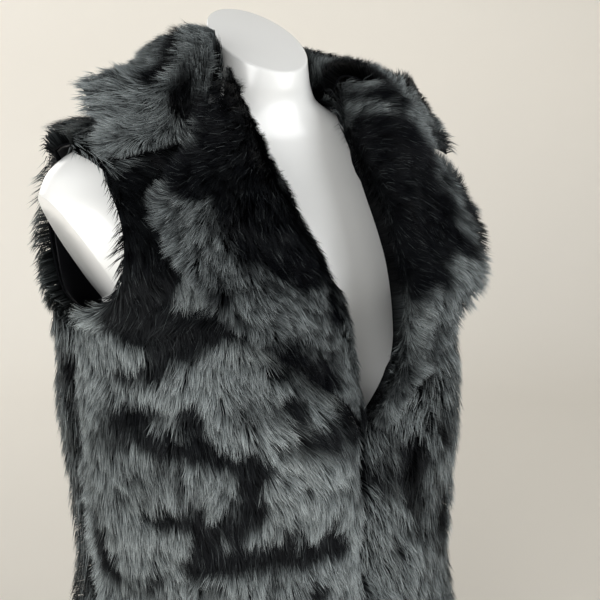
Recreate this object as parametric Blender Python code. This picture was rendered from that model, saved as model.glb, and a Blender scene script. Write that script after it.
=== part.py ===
"""A sleeveless faux fur vest with a notched collar, worn by a smooth armless display torso.

Metres, +Z up. The front of the vest faces -Y and the wearer's right is -X. The origin is the
centre of the torso's flat base. Every cloth piece is a wall worked out from rings round the body:
its inner face lies on the ring surface, and its outer face lies as far out as the pile reaches.
"""

import math

import bpy
import numpy as np

# Driving heights
BASE_Z = 0.0
HEM_Z = 0.062
BREAK_Z = 0.455
ARMPIT_Z = 0.542
SHOULDER_TIP_Z = 0.6745
CAP_Z = 0.764
CAP_SLOPE = 33.0

# Cloth
SEAM_GAP = 0.0003
LINING_WALL = 0.0011
LINING_CLEAR = 0.0006
LINING_GAP = 0.0005
PANEL_LIFT = LINING_CLEAR + LINING_WALL + LINING_GAP
PILE = 0.019
RIM = 0.0045
EDGE_ROUND = 0.018
ARM_ROUND = 0.011
NECK_TAPER = 0.050
SEAM_GROOVE = 0.0045
SEAM_GROOVE_WIDTH = 0.007

# How far out a panel's edge runs along the armhole, at heights, and the front edge
ARMHOLE_FRONT = (
    (0.542, 0.1695),
    (0.570, 0.1670),
    (0.610, 0.1670),
    (0.645, 0.1690),
    (0.6745, 0.1690),
)
ARMHOLE_BACK = (
    (0.542, 0.1695),
    (0.570, 0.1690),
    (0.610, 0.1720),
    (0.645, 0.1720),
    (0.6745, 0.1690),
)
FRONT_EDGE_X = SEAM_GAP / 2
ROLL_SETBACK = 0.012

# The slanted cut of each arm: distance from the centre line and height at its low and high end, and
# how much nearer the centre line it is for each metre further back
ARM_CUT_LOW = (0.1380, 0.5395)
ARM_CUT_HIGH = (0.2000, 0.6340)
ARM_CUT_TURN = 0.13

# Rings of the torso: height, half width, front depth, back depth, centre y, squareness
TORSO_RINGS = (
    (0.000, 0.146, 0.104, 0.110, 0.000, 2.3),
    (0.050, 0.157, 0.108, 0.118, 0.000, 2.3),
    (0.110, 0.163, 0.108, 0.120, 0.000, 2.3),
    (0.200, 0.148, 0.102, 0.098, 0.000, 2.2),
    (0.300, 0.118, 0.092, 0.078, 0.000, 2.1),
    (0.390, 0.127, 0.100, 0.086, 0.000, 2.2),
    (0.455, 0.137, 0.108, 0.096, 0.000, 2.3),
    (0.530, 0.138, 0.096, 0.102, 0.000, 2.5),
    (0.560, 0.161, 0.091, 0.100, 0.001, 2.8),
    (0.600, 0.191, 0.079, 0.092, 0.003, 2.8),
    (0.630, 0.200, 0.067, 0.082, 0.004, 2.6),
    (0.648, 0.196, 0.058, 0.073, 0.005, 2.3),
    (0.667, 0.177, 0.050, 0.064, 0.006, 2.1),
    (0.682, 0.132, 0.045, 0.056, 0.006, 2.0),
    (0.697, 0.084, 0.042, 0.050, 0.004, 2.0),
    (0.715, 0.054, 0.041, 0.045, 0.002, 2.0),
    (0.740, 0.0455, 0.042, 0.043, 0.000, 2.0),
    (0.764, 0.0435, 0.045, 0.045, 0.002, 2.0),
)

# Rings of the vest's lining side: height, half width, front depth, back depth, centre y, squareness
VEST_RINGS = (
    (0.050, 0.186, 0.144, 0.143, 0.000, 2.3),
    (0.110, 0.183, 0.144, 0.141, 0.000, 2.3),
    (0.200, 0.168, 0.144, 0.128, 0.000, 2.3),
    (0.300, 0.156, 0.144, 0.118, 0.000, 2.2),
    (0.390, 0.162, 0.140, 0.119, 0.000, 2.3),
    (0.455, 0.165, 0.129, 0.120, 0.000, 2.4),
    (0.535, 0.167, 0.113, 0.113, 0.000, 2.6),
    (0.560, 0.176, 0.106, 0.109, 0.001, 2.8),
    (0.600, 0.196, 0.091, 0.098, 0.003, 2.8),
    (0.630, 0.204, 0.075, 0.086, 0.004, 2.6),
    (0.648, 0.200, 0.062, 0.077, 0.005, 2.3),
    (0.6700, 0.186, 0.053, 0.067, 0.006, 2.1),
    (0.6816, 0.137, 0.048, 0.059, 0.006, 2.0),
    (0.6956, 0.089, 0.045, 0.054, 0.004, 2.0),
    (0.7128, 0.059, 0.045, 0.049, 0.002, 2.0),
    (0.740, 0.050, 0.046, 0.047, 0.000, 2.0),
    (0.764, 0.048, 0.049, 0.049, 0.002, 2.0),
)

# Bust of each: height, distance from the centre line, spread sideways, spread in height, depth
TORSO_BUST = (0.455, 0.072, 0.052, 0.055, 0.030)
VEST_BUST = (0.455, 0.062, 0.068, 0.065, 0.022)

# Soft hanging folds of the body: angle, lean to the bottom, top height, half width, depth, all
# angles in degrees from the centre front and positive to the wearer's left
FOLDS = (
    (-24.0, 6.0, 0.400, 9.0, 0.006),
    (-62.0, -8.0, 0.440, 11.0, -0.008),
    (-96.0, -5.0, 0.470, 9.0, -0.010),
    (-128.0, 4.0, 0.420, 12.0, 0.007),
    (-158.0, 3.0, 0.380, 10.0, -0.006),
    (166.0, -4.0, 0.400, 11.0, 0.006),
    (132.0, -3.0, 0.430, 12.0, -0.007),
    (98.0, 6.0, 0.460, 9.0, -0.009),
    (66.0, 5.0, 0.420, 11.0, 0.006),
    (34.0, -6.0, 0.390, 8.0, -0.006),
)

# Roll line of a lapel in the front view, from the break up: distance from the centre line, height
ROLL_LINE = (
    (0.0005, 0.455),
    (0.0170, 0.496),
    (0.0240, 0.538),
    (0.0330, 0.582),
    (0.0405, 0.630),
)
# How far the opening between the lapels has slipped to the wearer's left, at heights
ROLL_SLIP = (
    (0.455, 0.0),
    (0.496, 0.0145),
    (0.538, 0.0200),
    (0.582, 0.0160),
    (0.630, 0.0045),
    (0.665, -0.0020),
    (0.690, 0.0),
)
# Outer edge of a lapel in the front view, from the break up to its tip
LAPEL_EDGE = (
    (0.0120, 0.446),
    (0.0450, 0.472),
    (0.0800, 0.504),
    (0.1020, 0.534),
    (0.1130, 0.566),
    (0.1150, 0.600),
)
LAPEL_WALL = 0.020
LAPEL_NOSE = 0.020
LAPEL_EDGE_ROUND = 0.014
LAPEL_GAP = 0.0038
LAPEL_CLEAR = 0.0010
NOTCH_WIDTH = 0.52
# Height of a lapel's roll over the vest's lining side, at shares of its length from the break up
LAPEL_TIP_LIFT = 0.020
LAPEL_RIDGE = ((0.0, 0.024), (0.20, 0.040), (0.45, 0.046), (0.70, 0.052), (1.0, 0.062))

# The gorge keeps below the collar's fold: this share of what rises above this height is left out
GORGE_DROP = 0.55
GORGE_DROP_Z = 0.722

# Collar: the neck seam is an oval seen from above, and each station is a section along a ray
NECK_SEAM_Y = 0.006
NECK_SEAM_HALF = (0.0640, 0.0620)
COLLAR_HALF_SWEEP = 122.0
COLLAR_RAY_SWEEP = 104.0
COLLAR_WALL_HALF = 0.0098
COLLAR_FOLD_HALF = 0.0128
COLLAR_LEAN = 0.06
COLLAR_CLEAR = 0.0030
COLLAR_HOLD = 0.0016
# The front ends bow forward towards the notch, which is this far along them
COLLAR_END_BOW = 0.038
COLLAR_FRONT_EDGE = 0.078
NOTCH_REACH = 0.056
# Sections from the wearer's right front end to the left one: share of the half sweep, top height,
# length of the fall, how high it stands over the body's pile, and how far it sags onto the pile
COLLAR_SECTIONS = (
    (-1.00, 0.773, 0.128, 0.004, 0.90),
    (-0.90, 0.777, 0.102, 0.005, 0.90),
    (-0.75, 0.772, 0.064, 0.006, 0.90),
    (-0.55, 0.768, 0.050, 0.006, 0.80),
    (-0.30, 0.770, 0.062, 0.004, 0.40),
    (0.00, 0.772, 0.088, 0.003, 0.00),
    (0.30, 0.770, 0.082, 0.004, 0.00),
    (0.55, 0.765, 0.076, 0.004, 0.00),
    (0.75, 0.758, 0.080, 0.003, 0.20),
    (0.90, 0.752, 0.102, 0.004, 0.55),
    (1.00, 0.750, 0.128, 0.004, 0.75),
)


def smooth_columns(table, at):
    """The columns of a table after its first, at values of the first, on curves that don't overshoot."""
    rows = np.array(table, float)
    knots, values = rows[:, 0], rows[:, 1:]
    slope = np.diff(values, axis=0) / np.diff(knots)[:, None]
    tangent = np.zeros_like(values)
    product = slope[:-1] * slope[1:]
    total = slope[:-1] + slope[1:]
    same_way = product > 0
    tangent[1:-1] = np.where(same_way, 2 * product / np.where(same_way, total, 1.0), 0.0)
    tangent[0], tangent[-1] = slope[0], slope[-1]
    at = np.clip(np.asarray(at, float), knots[0], knots[-1])
    k = np.clip(np.searchsorted(knots, at) - 1, 0, len(knots) - 2)
    width = (knots[k + 1] - knots[k])[..., None]
    t = ((at - knots[k]) / (knots[k + 1] - knots[k]))[..., None]
    start = values[k] * (2 * t**3 - 3 * t**2 + 1) + tangent[k] * width * (t**3 - 2 * t**2 + t)
    end = values[k + 1] * (3 * t**2 - 2 * t**3) + tangent[k + 1] * width * (t**3 - t**2)
    return np.moveaxis(start + end, -1, 0)


def smooth_step(value):
    value = np.clip(value, 0.0, 1.0)
    return value * value * (3 - 2 * value)


def round_profile(distance, radius):
    """0 at an edge and 1 from radius inwards, as a quarter circle."""
    share = np.clip(distance / radius, 0.0, 1.0)
    return np.sqrt(1 - (1 - share) ** 2)


class Body:
    """A closed surface round the vertical: rings with a front and a back half, and a bust."""

    def __init__(self, rings, bust):
        self.rings, self.bust = rings, bust

    def ring(self, x, z):
        half, front, back, centre, square = smooth_columns(self.rings, z)
        height, apart, spread, tall, depth = self.bust
        mound = np.exp(-(((np.abs(x) - apart) / spread) ** 2) - ((z - height) / tall) ** 2)
        return half, front + depth * mound, back, centre, square

    def at(self, angle, z):
        """The point at an angle from the front, and a height."""
        angle, z = np.broadcast_arrays(np.asarray(angle, float), np.asarray(z, float))
        half, _, _, _, square = smooth_columns(self.rings, z)
        sine, cosine = np.sin(angle), np.cos(angle)
        x = half * np.sign(sine) * np.abs(sine) ** (2 / square)
        half, front, back, centre, square = self.ring(x, z)
        depth = np.where(cosine > 0, front, back)
        y = centre - depth * np.sign(cosine) * np.abs(cosine) ** (2 / square)
        return np.stack([x, y, z], axis=-1)

    def angle_of(self, x, z):
        """The angle at which the ring at height z is x to the side, on its front half."""
        half, _, _, _, square = smooth_columns(self.rings, z)
        share = np.clip(np.abs(x) / half, 0.0, 1.0)
        return np.sign(x) * np.arcsin(share ** (square / 2))

    def outside(self, points):
        """Above 0 outside the surface, as a share of the ring's size."""
        x, y, z = np.moveaxis(np.asarray(points, float), -1, 0)
        half, front, back, centre, square = self.ring(x, z)
        depth = np.where(y < centre, front, back)
        along = (np.abs(x) / half) ** square + (np.abs(y - centre) / depth) ** square
        return along ** (1 / square) - 1

    def slope(self, points):
        step = 1e-4
        sides = []
        for axis in range(3):
            move = np.zeros(3)
            move[axis] = step
            sides.append(self.outside(points + move) - self.outside(points - move))
        return np.stack(sides, axis=-1) / (2 * step)

    def outward(self, points):
        """The way straight out of the surface, eased to straight ahead at the centre front."""
        slope = self.slope(points)
        slope[..., 0] *= np.where(points[..., 1] < 0, smooth_step(np.abs(points[..., 0]) / 0.040), 1.0)
        return slope / np.linalg.norm(slope, axis=-1, keepdims=True)

    def drop(self, points):
        """The points moved onto the surface."""
        points = np.array(points, float)
        for _ in range(8):
            slope = self.slope(points)
            size = np.maximum((slope**2).sum(-1, keepdims=True), 1e-9)
            points = points - self.outside(points)[..., None] * slope / size
        return points

    def front_point(self, x, z):
        """The front of the body at x and z, seen from the front."""
        return self.at(self.angle_of(np.asarray(x, float), np.asarray(z, float)), z)

    def top_at(self, x, y):
        """How high the surface is over a place in the plan view."""
        low = np.full(np.shape(x), 0.30)
        high = np.full(np.shape(x), CAP_Z)
        for _ in range(30):
            middle = (low + high) / 2
            inside = self.outside(np.stack([x, y, middle], axis=-1)) < 0
            low, high = np.where(inside, middle, low), np.where(inside, high, middle)
        return low

    def plan_point(self, x, y):
        x, y = np.asarray(x, float), np.asarray(y, float)
        return np.stack([x, y, self.top_at(x, y)], axis=-1)

    def reach_at(self, plan, z):
        """How far along a way in the plan view the surface is met, at heights z."""
        z = np.asarray(z, float)
        low, high = np.full(z.shape, -0.05), np.full(z.shape, 0.30)
        for _ in range(30):
            middle = (low + high) / 2
            place = plan(middle)
            inside = self.outside(np.stack([place[..., 0], place[..., 1], z], axis=-1)) < 0
            low, high = np.where(inside, middle, low), np.where(inside, high, middle)
        return low

    def neckline_at(self, angle):
        """Height at which the surface meets the neck seam's oval, at angles from the front."""
        angle = np.asarray(angle, float)
        low, high = np.full(angle.shape, 0.655), np.full(angle.shape, 0.740)
        for _ in range(26):
            middle = (low + high) / 2
            x, y, _ = np.moveaxis(self.at(angle, middle), -1, 0)
            wide = np.hypot(x / NECK_SEAM_HALF[0], (y - NECK_SEAM_Y) / NECK_SEAM_HALF[1]) > 1
            low, high = np.where(wide, middle, low), np.where(wide, high, middle)
        return low


TORSO = Body(TORSO_RINGS, TORSO_BUST)
VEST = Body(VEST_RINGS, VEST_BUST)


def fold_height(angle, z):
    """How far the hanging folds push the cloth out at an angle and a height."""
    pushed = np.zeros(np.broadcast(angle, z).shape)
    for middle, lean, top, half_width, depth in FOLDS:
        down = np.clip((top - z) / (top - HEM_Z), 0.0, 1.2)
        centre = math.radians(middle) + math.radians(lean) * down
        away = (angle - centre + math.pi) % (2 * math.pi) - math.pi
        widening = math.radians(half_width) * (1 + 0.5 * down)
        pushed = pushed + depth * smooth_step(down * 1.6) * np.exp(-((away / widening) ** 2))
    return pushed


def body_sheet(angle, z, height, side):
    """Points over the vest's ring surface, height out from it, with the folds of that side."""
    base = VEST.at(angle, z)
    outward = VEST.outward(base)
    out = np.asarray(height) + fold_height(side * angle, z)
    return base + outward * out[..., None]


def mirrored(points):
    return points * np.array([-1.0, 1.0, 1.0])


def solid_from_sheets(outer, inner):
    """Points and faces of a closed wall between two grids of the same shape."""
    rows, columns, _ = outer.shape
    points = np.concatenate([outer.reshape(-1, 3), inner.reshape(-1, 3)])
    far = rows * columns

    def number(row, column):
        return row * columns + column

    faces = []
    for r in range(rows - 1):
        for c in range(columns - 1):
            one = [number(r, c), number(r, c + 1), number(r + 1, c + 1)]
            other = [number(r, c), number(r + 1, c + 1), number(r + 1, c)]
            faces += [one, other]
            faces.append([far + corner for corner in reversed(one)])
            faces.append([far + corner for corner in reversed(other)])
    rim = [number(0, c) for c in range(columns)]
    rim += [number(r, columns - 1) for r in range(1, rows)]
    rim += [number(rows - 1, c) for c in range(columns - 2, -1, -1)]
    rim += [number(r, 0) for r in range(rows - 2, 0, -1)]
    for here, there in zip(rim, rim[1:] + rim[:1]):
        faces.append([there, here, far + here, far + there])
    return points, faces


def solid_from_loops(loops):
    """Points and faces of a closed tube through loops of the same length, with flat ends."""
    loops = np.asarray(loops)
    count, size, _ = loops.shape
    faces = []
    for k in range(count - 1):
        for i in range(size):
            j = (i + 1) % size
            faces.append([k * size + i, k * size + j, (k + 1) * size + j, (k + 1) * size + i])
    faces.append(list(range(size - 1, -1, -1)))
    faces.append([(count - 1) * size + i for i in range(size)])
    return loops.reshape(-1, 3), faces


def signed_volume(points, faces):
    total = 0.0
    for face in faces:
        first = points[face[0]]
        for a, b in zip(face[1:-1], face[2:]):
            total += float(np.dot(first, np.cross(points[a], points[b])))
    return total / 6


def add_object(name, points, faces, material):
    """A smooth mesh object of a closed form, with its faces pointing out."""
    if signed_volume(points, faces) < 0:
        faces = [list(reversed(face)) for face in faces]
    mesh = bpy.data.meshes.new(name)
    mesh.from_pydata([tuple(map(float, point)) for point in points], [], faces)
    mesh.materials.append(material)
    mesh.shade_smooth()
    mesh.set_sharp_from_angle(angle=math.radians(50))
    made = bpy.data.objects.new(name, mesh)
    bpy.data.collections["faux_fur_vest"].objects.link(made)
    return made


def make_material(name, colour, roughness):
    material = bpy.data.materials.new(name)
    material.use_nodes = True
    shader = material.node_tree.nodes["Principled BSDF"]
    shader.inputs["Base Color"].default_value = (*colour, 1.0)
    shader.inputs["Roughness"].default_value = roughness
    shader.inputs["Metallic"].default_value = 0.0
    return material


def armhole_reach(z, edge):
    """Angle between the side line and the armhole's edge at heights z, 0 off the armhole."""
    far_out = smooth_columns(edge, z)[0]
    reach = math.pi / 2 - VEST.angle_of(far_out, z)
    share = np.clip((z - ARMPIT_Z) / (SHOULDER_TIP_Z - ARMPIT_Z), 0.0, 1.0)
    ends = np.minimum(1.0, 3.2 * np.sqrt(share * (1 - share)))
    return reach * ends


def armhole_openness(z, run=0.010):
    """1 along the armhole's edge and 0 along the seams under and over it."""
    return smooth_step((z - ARMPIT_Z) / run) * smooth_step((SHOULDER_TIP_Z - z) / run)


def across(length, edge_steps, middle_count):
    """Places along rows of given lengths, as shares: close at both edges, even between them."""
    length = np.asarray(length)[:, None]
    steps = np.minimum(np.array(edge_steps)[None, :], 0.42 * length)
    middle = np.linspace(0, 1, middle_count + 2)[1:-1][None, :]
    between = steps[:, -1:] + (length - 2 * steps[:, -1:]) * middle
    return np.concatenate([steps, between, (length - steps)[:, ::-1]], axis=1) / length


def row_heights(hem_steps, body_rows, arm_rows, hem):
    """Heights of a panel's rows to the shoulder's tip: close at the hem and in the armhole."""
    low = hem + np.array(hem_steps)
    body = np.linspace(low[-1], ARMPIT_Z - 0.004, body_rows + 1)[1:]
    turn = (1 - np.cos(np.linspace(0, math.pi, arm_rows))) / 2
    arm = ARMPIT_Z + 0.002 + (SHOULDER_TIP_Z - ARMPIT_Z - 0.004) * turn
    return np.concatenate([low, body, arm])


def front_edge_x(z, side):
    """Distance of a front panel's edge from the centre line: at the middle up to the break."""
    line = np.array(ROLL_LINE)
    roll = np.interp(z, line[:, 1], line[:, 0])
    above = z > line[-1, 1]
    rising = z - line[-1, 1]
    roll = np.where(above, line[-1, 0] + 0.13 * rising, roll)
    slip = side * smooth_columns(ROLL_SLIP, z)[0]
    return FRONT_EDGE_X + (roll + slip + ROLL_SETBACK) * turned_back(z)


def turned_back(z):
    """0 where the fronts meet and 1 where they are turned back, at heights z."""
    return smooth_step((z - BREAK_Z + 0.015) / 0.040)


def panel_bounds(which, z, side):
    """First and last angle of a panel's rows at heights z."""
    seam = math.radians(90.0)
    gap = SEAM_GAP / 2 / smooth_columns(VEST_RINGS, z)[1]
    if which == "back":
        start = seam + gap + armhole_reach(z, ARMHOLE_BACK)
        return start, 2 * math.pi - start
    inner = VEST.angle_of(front_edge_x(z, side), z)
    return inner, seam - gap - armhole_reach(z, ARMHOLE_FRONT)


def panel_grid(which, side, heights, top_shares, edge_steps, middle):
    """Angles and heights of a panel's grid, and how far its points are from its two sides.

    The rows over the shoulder's tip rise to the neck seam, so their height changes along them."""
    tip = heights[-1]
    starts, stops, levels = [], [], []
    for z in heights:
        start, stop = panel_bounds(which, np.array([z]), side)
        starts.append(float(start[0]))
        stops.append(float(stop[0]))
        levels.append(None)
    for share in top_shares:
        z = np.array([tip])
        for _ in range(8):
            start, _ = panel_bounds(which, z, side)
            z = tip + (VEST.neckline_at(start) - tip) * share
        _, stop = panel_bounds(which, np.array([tip + (0.70 - tip) * share]), side)
        starts.append(float(start[0]))
        stops.append(float(stop[0]))
        levels.append(share)
    starts, stops = np.array(starts), np.array(stops)
    dense = np.linspace(0, 1, 25)

    def level_of(row, angle):
        if levels[row] is None:
            return np.full(np.shape(angle), heights[row])
        return tip + (VEST.neckline_at(angle) - tip) * levels[row]

    rows = []
    for row, (start, stop) in enumerate(zip(starts, stops)):
        angle = start + (stop - start) * dense
        line = VEST.at(angle, level_of(row, angle))
        length = np.linalg.norm(np.diff(line, axis=0), axis=1).sum()
        share = across(np.array([length]), edge_steps, middle)[0]
        angle = start + (stop - start) * share
        rows.append((angle, level_of(row, angle), share * length, (1 - share) * length))
    return tuple(np.stack(column) for column in zip(*rows))


def from_ends(points):
    """How far each grid point is from the first row and from the last, along its column."""
    steps = np.linalg.norm(np.diff(points, axis=0), axis=-1)
    along = np.concatenate([np.zeros((1, points.shape[1])), np.cumsum(steps, axis=0)])
    return along, along[-1] - along


def pile_height(which, points, from_start, from_stop):
    """Thickness of a body panel: full in the middle, rounded at free edges, low at seams."""
    z = points[..., 2]
    from_hem, from_neck = from_ends(points)
    open_arm = armhole_openness(z)
    groove = 1 - SEAM_GROOVE / PILE * np.exp(-((from_stop / SEAM_GROOVE_WIDTH) ** 2))
    far_side = open_arm * round_profile(from_stop, ARM_ROUND) + (1 - open_arm) * groove
    if which == "back":
        groove = 1 - SEAM_GROOVE / PILE * np.exp(-((from_start / SEAM_GROOVE_WIDTH) ** 2))
        near_side = open_arm * round_profile(from_start, ARM_ROUND) + (1 - open_arm) * groove
    else:
        above = smooth_step((z - BREAK_Z + 0.010) / 0.030)
        closed = round_profile(from_start, 0.006)
        near_side = above * round_profile(from_start, EDGE_ROUND) + (1 - above) * closed
    shape = near_side * far_side * round_profile(from_hem, EDGE_ROUND)
    return RIM + (PILE - RIM) * shape * smooth_step(from_neck / NECK_TAPER)


def cloth_grid(which, side):
    edge_steps = (0.0, 0.0025, 0.0080, 0.0180)
    middle = 11 if which == "back" else 5
    heights = row_heights(edge_steps, 7, 10, HEM_Z)
    return panel_grid(which, side, heights, (0.35, 0.68, 0.88, 0.97, 1.0), edge_steps, middle)


def make_body_panel(name, which, material, side):
    angle, z, from_start, from_stop = cloth_grid(which, side)
    height = pile_height(which, VEST.at(angle, z), from_start, from_stop)
    inner = body_sheet(angle, z, np.full(angle.shape, PANEL_LIFT), side)
    outer = body_sheet(angle, z, PANEL_LIFT + height, side)
    if side < 0:
        inner, outer = mirrored(inner), mirrored(outer)
    return add_object(name, *solid_from_sheets(outer, inner), material)


def make_lining(name, which, material, side):
    """The satin inside a panel, a thin wall on the panel's own grid that stops short of its hem."""
    angle, z, _, _ = (part[2:-1, 1:-1] for part in cloth_grid(which, side))
    inner = body_sheet(angle, z, np.full(angle.shape, LINING_CLEAR), side)
    outer = body_sheet(angle, z, np.full(angle.shape, LINING_CLEAR + LINING_WALL), side)
    if side < 0:
        inner, outer = mirrored(inner), mirrored(outer)
    return add_object(name, *solid_from_sheets(outer, inner), material)


def along_line(points, shares):
    """Places at shares of a smooth line through points."""
    points = np.asarray(points)
    steps = np.linalg.norm(np.diff(points, axis=0), axis=1)
    knots = np.concatenate([[0], np.cumsum(steps)]) / steps.sum()
    table = np.concatenate([knots[:, None], points], axis=1)
    return np.moveaxis(smooth_columns(table, shares), 0, -1)


def collar_plan(share, reach):
    """Places in the plan view at reaches along a collar section."""
    foot, ray = collar_ray(share)
    reach = np.asarray(reach, float)[..., None]
    side = np.array([ray[1], -ray[0]])
    late = smooth_step((abs(share) - 0.6) / 0.4)
    bow = late * COLLAR_END_BOW * np.sin(np.clip(reach / (2 * NOTCH_REACH), 0, 1) * math.pi)
    return foot + ray * reach + side * bow


def lapel_lines(shares, side):
    """Roll line and outer edge of a lapel on the vest's surface, drawn on the left side."""
    _, ray = collar_ray(1.0)
    top = collar_plan(1.0, 0.0) + np.array([ray[1], -ray[0]]) * LAPEL_GAP
    slip = [side * float(smooth_columns(ROLL_SLIP, z)[0]) for _, z in ROLL_LINE]
    roll = [VEST.front_point(x + moved, z) for (x, z), moved in zip(ROLL_LINE, slip)]
    roll.append(VEST.plan_point(*top))
    edge = [VEST.front_point(x, z) for x, z in LAPEL_EDGE]
    return VEST.drop(along_line(roll, shares)), VEST.drop(along_line(edge, shares))


def lapel_surface(shares, widths, side):
    """Grid on the vest's surface under the lapel. widths hold one row of shares for each row."""
    roll, edge = lapel_lines(shares, side)
    grid = roll[:, None] + (edge - roll)[:, None] * widths[..., None]
    _, ray = collar_ray(1.0)
    ahead = np.array([ray[1], -ray[0]]) * LAPEL_GAP
    reach = np.minimum(widths[-1] / NOTCH_WIDTH, 1.0) * NOTCH_REACH
    plan = collar_plan(1.0, reach) + ahead
    gorge = VEST.plan_point(plan[:, 0], plan[:, 1])
    past = np.clip((widths[-1] - NOTCH_WIDTH) / (1 - NOTCH_WIDTH), 0, 1)[:, None]
    gorge = gorge + (edge[-1] - gorge) * past
    late = smooth_step((shares - 0.50) / 0.50)[:, None, None]
    return VEST.drop(grid + late * (gorge - grid[-1])[None])


def gorge_row(widths, side):
    """The lapel's top row along the collar's front end, and how firmly each point is held to it."""
    faces = []
    visible, hidden = collar_loop(float(side))
    steps = np.linalg.norm(np.diff((visible + hidden) / 2, axis=0), axis=1)
    along = np.concatenate([[0], np.cumsum(steps)])
    notch = along[-1] - COLLAR_FRONT_EDGE
    wanted = np.minimum(widths / NOTCH_WIDTH, 1.0) * notch
    ahead = collar_plan(1.0, NOTCH_REACH + 1e-4) - collar_plan(1.0, NOTCH_REACH - 1e-4)
    ahead /= np.linalg.norm(ahead)
    gap = np.array([ahead[1], -ahead[0], 0.0]) * LAPEL_GAP
    for face in (visible, hidden):
        row = np.stack([np.interp(wanted, along, face[:, k]) for k in range(3)], axis=1)
        row[:, 2] -= GORGE_DROP * np.maximum(row[:, 2] - GORGE_DROP_Z, 0)
        faces.append(row + gap)
    hold = 1 - smooth_step((widths - NOTCH_WIDTH) / (1 - NOTCH_WIDTH))
    return faces[0], faces[1], hold


def kept_ahead(points):
    """The lapel's points moved off the collar's front end where they would come closer than the gap."""
    plan = collar_plan(1.0, np.linspace(-0.01, 0.16, 140))
    way = np.gradient(plan, axis=0)
    way /= np.linalg.norm(way, axis=1, keepdims=True)
    ahead = np.stack([way[:, 1], -way[:, 0]], axis=1)
    away = points[..., None, :2] - plan
    nearest = (away**2).sum(axis=-1).argmin(axis=-1)
    off = np.take_along_axis((away * ahead).sum(axis=-1), nearest[..., None], axis=-1)
    moved = points.copy()
    moved[..., :2] += ahead[nearest] * np.maximum(LAPEL_GAP - off, 0.0)
    return moved


def make_lapel(name, material, side):
    """The turned back front edge: a thick wall that rolls over the front panel's edge."""
    low_shares = [0.0, 0.03, 0.08, 0.15, 0.23, 0.32, 0.41, 0.50, 0.59, 0.68, 0.77]
    shares = np.array(low_shares + [0.85, 0.92, 0.965, 0.99, 1.0])
    roll, edge = lapel_lines(shares, side)
    length = np.linalg.norm(edge - roll, axis=1)
    widths = across(length, (0.0, 0.003, 0.010, 0.022, 0.036), 3)
    ground = lapel_surface(shares, widths, side)
    steps = np.linalg.norm(np.diff(ground, axis=1), axis=-1)
    from_roll = np.concatenate([np.zeros((len(shares), 1)), np.cumsum(steps, axis=1)], axis=1)
    from_edge = from_roll[:, -1:] - from_roll
    total_length = np.linalg.norm(np.diff(roll, axis=0), axis=1).sum()
    from_top = ((1 - shares) * total_length)[:, None]
    nose = np.minimum(LAPEL_NOSE, 0.45 * length)[:, None]
    edge_round = np.minimum(LAPEL_EDGE_ROUND, 0.45 * length)[:, None]

    setback = ROLL_SETBACK * turned_back(ground[..., 2] - 0.006) - 0.003
    panel_shape = round_profile(from_roll - setback, EDGE_ROUND)
    panel_top = PANEL_LIFT + RIM + (PILE - RIM) * panel_shape
    ridge = smooth_columns(LAPEL_RIDGE, shares)[0][:, None]
    flat_top = np.minimum(PANEL_LIFT + PILE + LAPEL_CLEAR + LAPEL_WALL, ridge)
    run = np.maximum(from_roll[:, -1:] - 0.030, 0.02)
    fade = 1 - smooth_step((from_roll - 0.018) / np.minimum(run, 0.075))
    top = flat_top + (ridge - flat_top) * fade
    over = 0.0050 + (top - 0.0050) * round_profile(from_roll, nose)
    raised = smooth_step((from_roll - 0.008) / 0.020)
    under = 0.0018 + (top - LAPEL_WALL - 0.0018) * raised
    under = np.maximum(under, np.where(from_roll > 0.006, panel_top + LAPEL_CLEAR, 0.0))
    over = np.maximum(over, under + 0.0022)
    closing = round_profile(from_edge, edge_round) * round_profile(from_top + 0.0012, 0.010)
    middle = (under + over) / 2
    half = np.maximum((over - under) / 2 * closing, 0.0011)

    off = smooth_step((shares - 0.25) / 0.5)[:, None] * smooth_step((widths - 0.3) / 0.7)
    middle = middle + LAPEL_TIP_LIFT * off

    outward = VEST.outward(ground)
    reach = np.minimum(widths[-1] / NOTCH_WIDTH, 1.0) * NOTCH_REACH
    ahead = collar_plan(1.0, reach + 1e-4) - collar_plan(1.0, reach)
    across_it = np.stack([ahead[:, 1], -ahead[:, 0], 0 * reach], axis=1)
    across_it /= np.linalg.norm(across_it, axis=1, keepdims=True)
    in_plane = outward - (outward * across_it).sum(axis=-1, keepdims=True) * across_it
    late = smooth_step((shares - 0.55) / 0.45)[:, None, None]
    rise = 2.0 * late * (1 - smooth_step(widths / 0.6))[..., None]
    way = outward * (1 - late) + in_plane * late + np.array([0.0, 0.0, 1.0]) * rise
    way /= np.linalg.norm(way, axis=-1, keepdims=True)
    low = ground + way * (middle - half)[..., None]
    high = ground + way * (middle + half)[..., None]
    joined_high, joined_low, hold = gorge_row(widths[-1], side)
    blend = smooth_step((shares - 0.60) / 0.40)[:, None, None] * hold[None, :, None]
    low = kept_ahead(low + (joined_low - low[-1]) * blend)
    high = kept_ahead(high + (joined_high - high[-1]) * blend)
    if side < 0:
        low, high = mirrored(low), mirrored(high)
    return add_object(name, *solid_from_sheets(high, low), material)


def collar_ray(share):
    """Foot of a section on the neck seam and the way it points, drawn on the wearer's left."""
    turn = math.radians(COLLAR_HALF_SWEEP) * abs(share)
    ray = math.radians(COLLAR_RAY_SWEEP) * abs(share)
    half_x, half_y = NECK_SEAM_HALF
    foot = np.array([half_x * math.sin(turn), NECK_SEAM_Y + half_y * math.cos(turn)])
    return foot, np.array([math.sin(ray), math.cos(ray)])


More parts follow.
